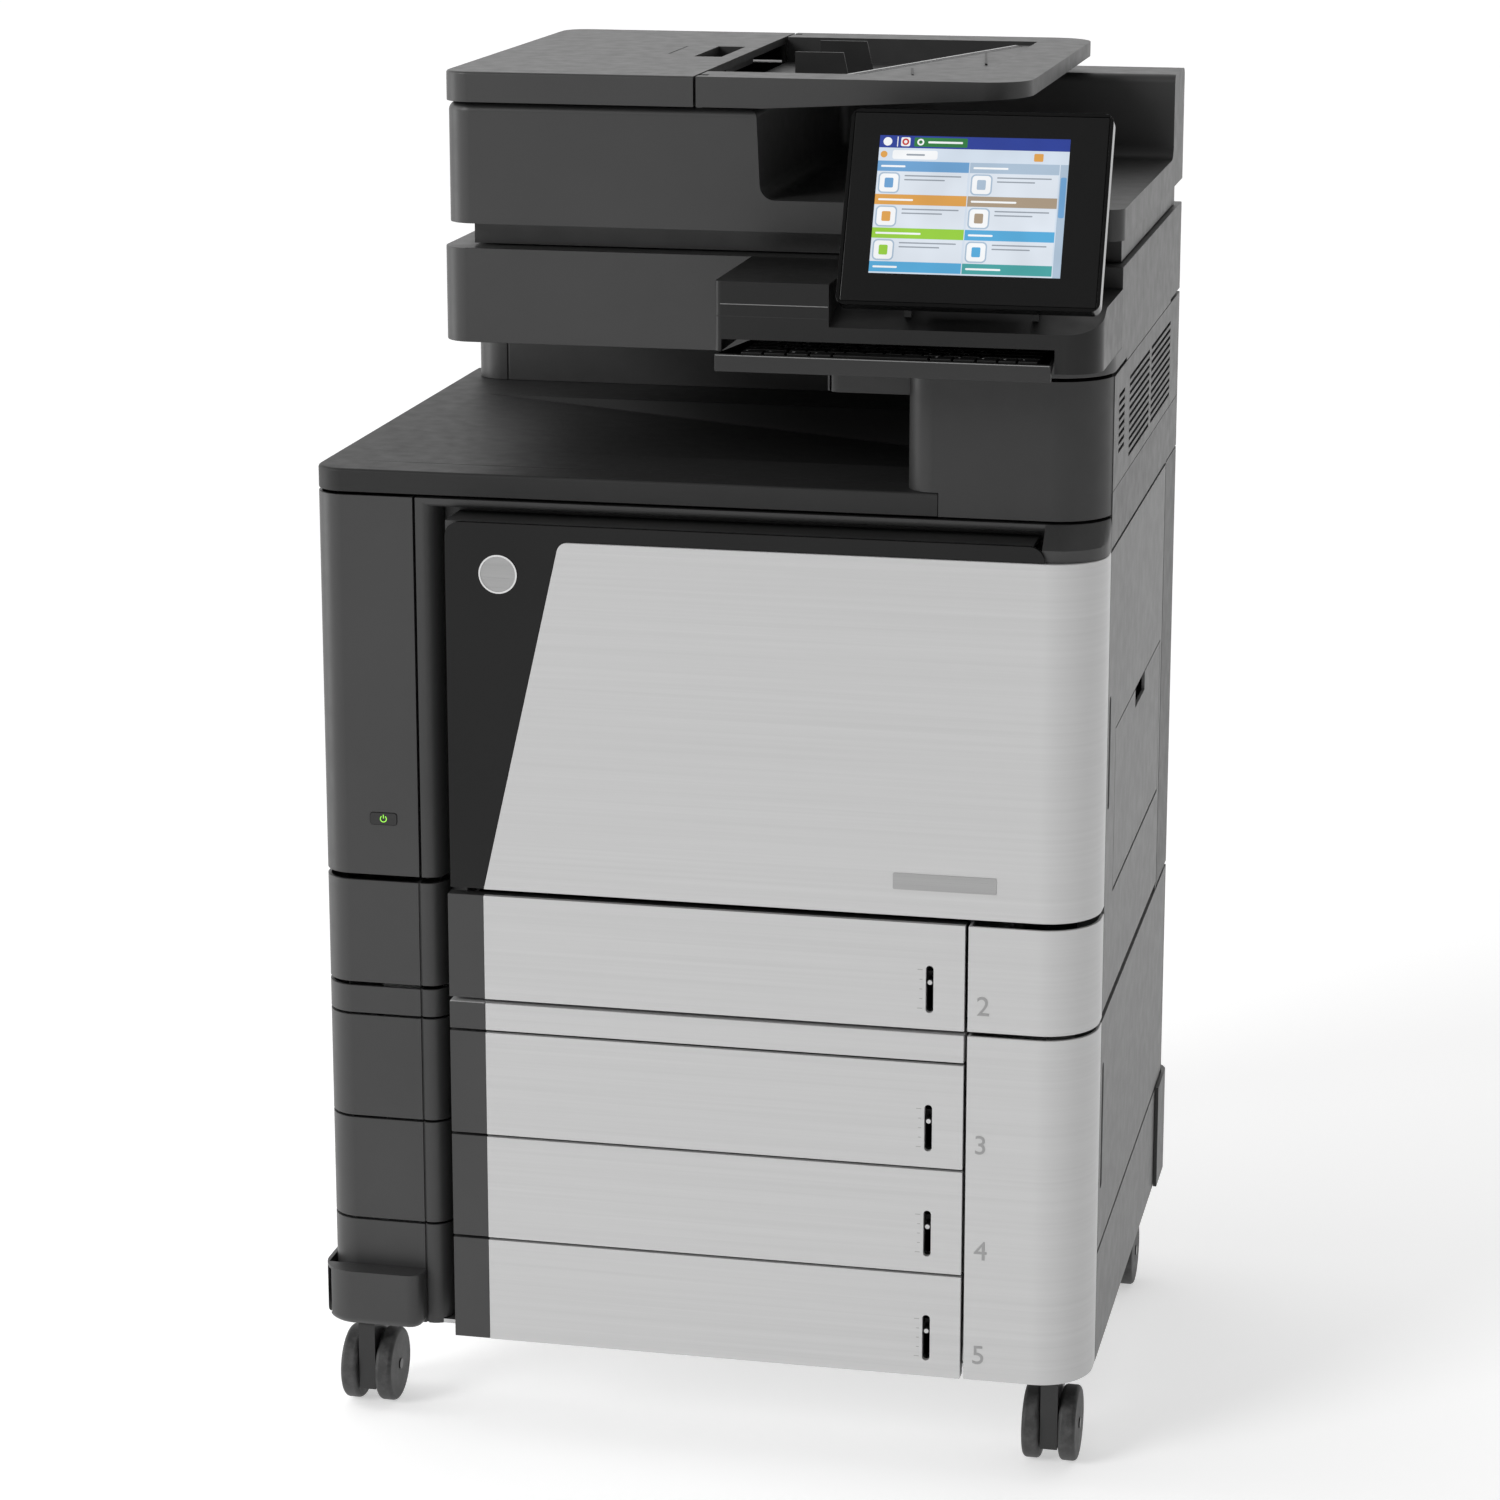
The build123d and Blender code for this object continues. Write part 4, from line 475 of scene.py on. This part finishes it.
LEAN = math.radians(25.4)
SCREEN = (at(248, -52, 1093), X_AXIS, Vector((0, math.sin(LEAN), math.cos(LEAN))))
UI = (-86.5, 77.5, 28.5, 151.5)
LIP_FRONT = -51.0
KEY_PITCH, KEY_DEPTH, KEY_TOP, KEYS_LEFT = 16.8, 17.6, 1047.0, 50.0
KEY_ROWS = (
    (1, 1, 1, 1, 1, 1, 1, 1, 1, 1, 1, 1, 1, 1, 1.4),
    (1.5, 1, 1, 1, 1, 1, 1, 1, 1, 1, 1, 1, 1, 1.9),
    (1.8, 1, 1, 1, 1, 1, 1, 1, 1, 1, 1, 1, 2.6),
    (2.3, 1, 1, 1, 1, 1, 1, 1, 1, 1, 1, 3.1),
    (1.2, 1.2, 1.2, 1.2, 5, 1.2, 1.2, 1.1, 1, 1.1),
)


def ui(name, outlines, finish, level=1):
    """Lit shapes on the touch glass; a higher level lies over a lower one."""
    return slabs("ui_" + name, SCREEN, outlines, -0.19 + 0.03 * level, finish, "display", 0.2)


def display_picture():
    """The lit menu without any words: top bar, option row, tiles in two columns, icons and a scroll bar."""
    left, right, low, high = UI
    middle, scroll = left + 79.0, right - 7.5
    ui("back", [rect(left, right, low, high)], "ui_pale")
    ui("bar", [rect(left, right, high - 11, high)], "ui_navy", 2)
    ui("bar_tile", [rect(left + 30, left + 76, high - 9.6, high - 1.4, 1)], "ui_leaf", 3)
    ui("bar_line", [rect(left + 15.2, left + 16, high - 10, high - 1)], "ui_white", 3)
    square = rect(left + 18.5, left + 26.5, high - 9.5, high - 1.5, 1.4)
    ui("bar_icons", [disc(left + 7, high - 5.5, 3.8), square], "ui_white", 3)
    ui("bar_ring", [arc(left + 22.5, high - 5.5, 1.5, 3.0, a, a + 180) for a in (0, 180)], "ui_red", 4)
    ui("tile_ring", [arc(left + 35.5, high - 5.5, 1.6, 3.0, a, a + 180) for a in (0, 180)], "ui_white", 4)
    words = [rect(left + 42, left + 72, high - 6.4, high - 4.6, 0.8)]
    ui("bar_word", words, "ui_white", 4)
    ui("option_button", [rect(left + 12, left + 51, high - 21, high - 13, 2)], "ui_white", 2)
    ui("option_word", [rect(left + 24, left + 40, high - 17.8, high - 16.2, 0.7)], "ui_grey", 3)
    ui("option_key", [disc(left + 4.6, high - 17, 3.0)], "ui_tan", 2)
    ui("option_box", [rect(right - 30, right - 22, high - 20.5, high - 13.5, 1)], "ui_tan", 2)
    heads = (("ui_blue", "ui_mist"), ("ui_tan", "ui_brown"), ("ui_green", "ui_sky"), ("ui_sky", "ui_teal"))
    tops = [high - 22.8 - 29.9 * step for step in range(4)]
    for row, ((first, second), top) in enumerate(zip(heads, tops)):
        foot = max(top - 9.2, low)
        columns = ((left, middle, first), (middle + 0.8, scroll, second))
        for column, (start, end, finish) in enumerate(columns):
            tag = f"{row}_{column}"
            ui("head_" + tag, [rect(start, end, foot, top)], finish, 2)
            title_end = start + 24 + 9 * ((row + column) % 3)
            ui("title_" + tag, [rect(start + 3, title_end, top - 5.6, top - 3.9, 0.7)], "ui_white", 3)
            if row == 3:
                continue
            tile = (start + 0.6, end - 0.6, top - 29.6, foot - 0.4)
            ui("tile_" + tag, [rect(*tile)], "ui_tile", 2)
            icon = (start + 1.6, start + 20.2, top - 29.0, foot - 1.0)
            ui("icon_edge_" + tag, [rect(*icon, 4.2)], "ui_mist", 3)
            inner = (icon[0] + 1.3, icon[1] - 1.3, icon[2] + 1.3, icon[3] - 1.3)
            ui("icon_" + tag, [rect(*inner, 3.2)], "ui_white", 4)
            glyph = rect(icon[0] + 5.5, icon[1] - 5.5, icon[2] + 5, icon[3] - 5, 1.2)
            ui("glyph_" + tag, [glyph], finish, 5)
            lines = []
            for step in range(2):
                line_top = foot - 3.2 - 3.6 * step
                lines.append(rect(start + 24, end - 6 - 14 * step, line_top - 1.2, line_top, 0.5))
            ui("lines_" + tag, lines, "ui_grey", 3)
    ui("scroll", [rect(scroll + 0.8, right, low, high - 22.8)], "ui_mist", 2)
    ui("scroll_bar", [rect(scroll + 1.6, right - 0.8, high - 70, high - 34, 1.5)], "ui_blue", 3)


def key_legends():
    """Small light legend marks on the key caps, and a painted highlight along the top edge of the
    keyboard's lip.
    """
    marks = []
    for row, widths in enumerate(KEY_ROWS):
        y = LIP_FRONT + 8 + KEY_DEPTH * (len(KEY_ROWS) - 0.5 - row)
        x = KEYS_LEFT
        for number, width in enumerate(widths):
            across = width * KEY_PITCH
            spread = 1.3 + 0.5 * ((number * 7 + row * 3) % 3)
            if width < 3:
                marks.append(rect(x + 4, x + 4 + spread, y + 1.0, y + 3.6, 0.4))
            if width > 1.3 and width < 3:
                marks.append(rect(x + 4 + spread + 0.8, x + 8 + spread, y + 1.0, y + 3.0, 0.4))
            x += across
    slabs("key_legends", top_face(KEY_TOP), marks, 0.06, "mark_white", "keyboard")
    # Painted highlight: a light strip along the top edge of the lip.
    edge = [rect(30.5, 319.5, 1044.9, 1045.6)]
    slabs("lip_edge_highlight", front_face(LIP_FRONT), edge, 0.15, "line_light", "keyboard")


POD_TOP = 1089.0
POD_FRONT = -43.0


def pod_details():
    """Slot line on the pod's top, a painted highlight along its top front edge and one seam on its front.
    """
    groove = stroke(((41, -1), (113, 6)), 0.8)
    slabs("pod_slot", top_face(POD_TOP), groove, 0.1, "line_light", "cabinet")
    # Painted highlight: a light strip just under the pod's top front edge.
    edge = [rect(33, 127, 1088.2, 1088.8)]
    slabs("pod_edge_highlight", front_face(POD_FRONT), edge, 0.1, "line_light", "cabinet")
    seam = [rect(29.5, 127, 1077.75, 1078.25)]
    slabs("pod_seam", front_face(POD_FRONT), seam, 0.06, "line_dark", "cabinet")


# ---------------------------------------------------------------- feeder and deck details


SHELF_TOP = 1264.5
LID_TOP = 1268.0
POCKET_FLOOR = 1244.4
DECK_TOP = 917.0


def feeder_details():
    """Painted highlight along the input tray's raised shelf edge (a white strip and a light line), two
    fins, a guide label and the lid's seam.
    """
    # Painted highlight: a white strip and a thin light line along the shelf's slanted edge, where light
    # catches the ridge.
    light = stroke(((96, 160), (207, 495)), 4.0)
    slabs("ramp_edge_highlight", top_face(SHELF_TOP), light, 0.5, "mark_white", "input_tray")
    thin = stroke(((103, 160), (213, 490)), 1.0)
    slabs("ramp_edge_highlight_line", top_face(SHELF_TOP), thin, 0.3, "line_light", "input_tray")
    for number, (start, end) in enumerate((((150, 236), (161, 176)), ((192, 400), (209, 292)))):
        fin = stroke((start, end), 2.2)
        slabs(f"ramp_fin_{number}", top_face(SHELF_TOP), fin, 1.6, "line_dark", "input_tray")
    latch = [rect(-94, -92, 308, 385)]
    slabs("lid_seam", top_face(LID_TOP), latch, 0.05, "seam", "feeder_lid", 0.02)
    label = [rect(50, 74, 270, 282, 1.0)]
    slabs("ramp_label", top_face(POCKET_FLOOR), label, 0.1, "mark_grey", "input_tray")


def deck_details():
    """Fine groove along the deck's lip and the dark left end of the filler strip."""
    groove = [rect(-352, 205, 66, 67.2)]
    slabs("deck_groove", top_face(DECK_TOP), groove, 0.05, "seam", "cabinet", 0.02)
    low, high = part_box("filler_strip")
    face = front_face((low.y - FRONT) / MM)
    dark = [rect(low.x / MM + 0.4, -198.2, low.z / MM + 0.4, high.z / MM - 0.4)]
    slabs("filler_end", face, dark, 0.12, "grip_grey", "cabinet")


door_marks()
tray_marks()
button_mark()
display_picture()
key_legends()
pod_details()
feeder_details()
deck_details()

# ---------------------------------------------------------------- stage, light and camera


def pale_floor():
    """A wide pale floor with faint mottling."""
    bpy.ops.mesh.primitive_circle_add(vertices=96, radius=60, fill_type="NGON", location=(0, 0, -0.0005))
    floor = bpy.context.object
    floor.name = "floor"
    made, tree, shader = new_material("floor_paint")
    share = noise(tree, (0.8, 0.8, 0.8), 3.0)
    tree.links.new(blend_colours(tree, share, grey(0.80), grey(0.82)), shader.inputs["Base Color"])
    shader.inputs["Emission Color"].default_value = (1, 1, 1, 1)
    shader.inputs["Emission Strength"].default_value = 0.47
    shader.inputs["Roughness"].default_value = 0.9
    shader.inputs["Specular IOR Level"].default_value = 0.1
    floor.data.materials.append(made)


def soft_light(name, spot, target, size, power):
    """One large rectangular softbox aimed at a point."""
    lamp = bpy.data.lights.new(name, "AREA")
    lamp.shape = "RECTANGLE"
    lamp.size, lamp.size_y = size
    lamp.energy = power
    thing = bpy.data.objects.new(name, lamp)
    bpy.context.scene.collection.objects.link(thing)
    thing.location = spot
    thing.rotation_euler = (Vector(target) - Vector(spot)).to_track_quat("-Z", "Y").to_euler()


def surround():
    """Light all round: bright behind and above, dim in front and to the right."""
    world = bpy.data.worlds.new("surround")
    bpy.context.scene.world = world
    world.use_nodes = True
    tree = world.node_tree
    back = tree.nodes["Background"]
    place = add(tree, "TexCoord")
    parts = add(tree, "SeparateXYZ")
    tree.links.new(place.outputs["Generated"], parts.inputs["Vector"])
    behind = ramp(tree, parts.outputs["Y"], -0.6, 0.9, 0.30, 1.25)
    aside = ramp(tree, parts.outputs["X"], -0.9, 0.9, 1.15, 0.35)
    both = add(tree, "Math", operation="MULTIPLY")
    tree.links.new(behind, both.inputs[0])
    tree.links.new(aside, both.inputs[1])
    tree.links.new(both.outputs[0], back.inputs["Strength"])
    back.inputs["Color"].default_value = (1, 1, 1, 1)


def studio():
    """Surround, a soft sun from the front left and a tall softbox on the left."""
    surround()
    sun = bpy.data.lights.new("soft_sun", "SUN")
    sun.energy = 1.25
    sun.angle = math.radians(22)
    thing = bpy.data.objects.new("soft_sun", sun)
    bpy.context.scene.collection.objects.link(thing)
    thing.rotation_euler = Vector((0.60, 0.70, -0.45)).to_track_quat("-Z", "Y").to_euler()
    soft_light("left_box", (-2.2, -0.3, 1.2), (0, 0, 0.8), (0.8, 2.4), 16.0)


CAMERA_SPOT = (0.7877, -3.7219, 1.6200)
CAMERA_YAW = 12.08
CAMERA_PITCH = 13.22
CAMERA_LENS = 98.4
CAMERA_SHIFT = -0.08


def camera():
    """The photograph's viewing angle: slightly right of the front, looking gently down."""
    data = bpy.data.cameras.new("camera")
    data.lens = CAMERA_LENS
    data.sensor_width = 36.0
    data.shift_y = CAMERA_SHIFT
    thing = bpy.data.objects.new("camera", data)
    bpy.context.scene.collection.objects.link(thing)
    thing.location = CAMERA_SPOT
    thing.rotation_euler = (math.radians(90 - CAMERA_PITCH), 0, math.radians(CAMERA_YAW))
    bpy.context.scene.camera = thing


pale_floor()
studio()
camera()
bpy.context.scene.view_settings.view_transform = "Standard"
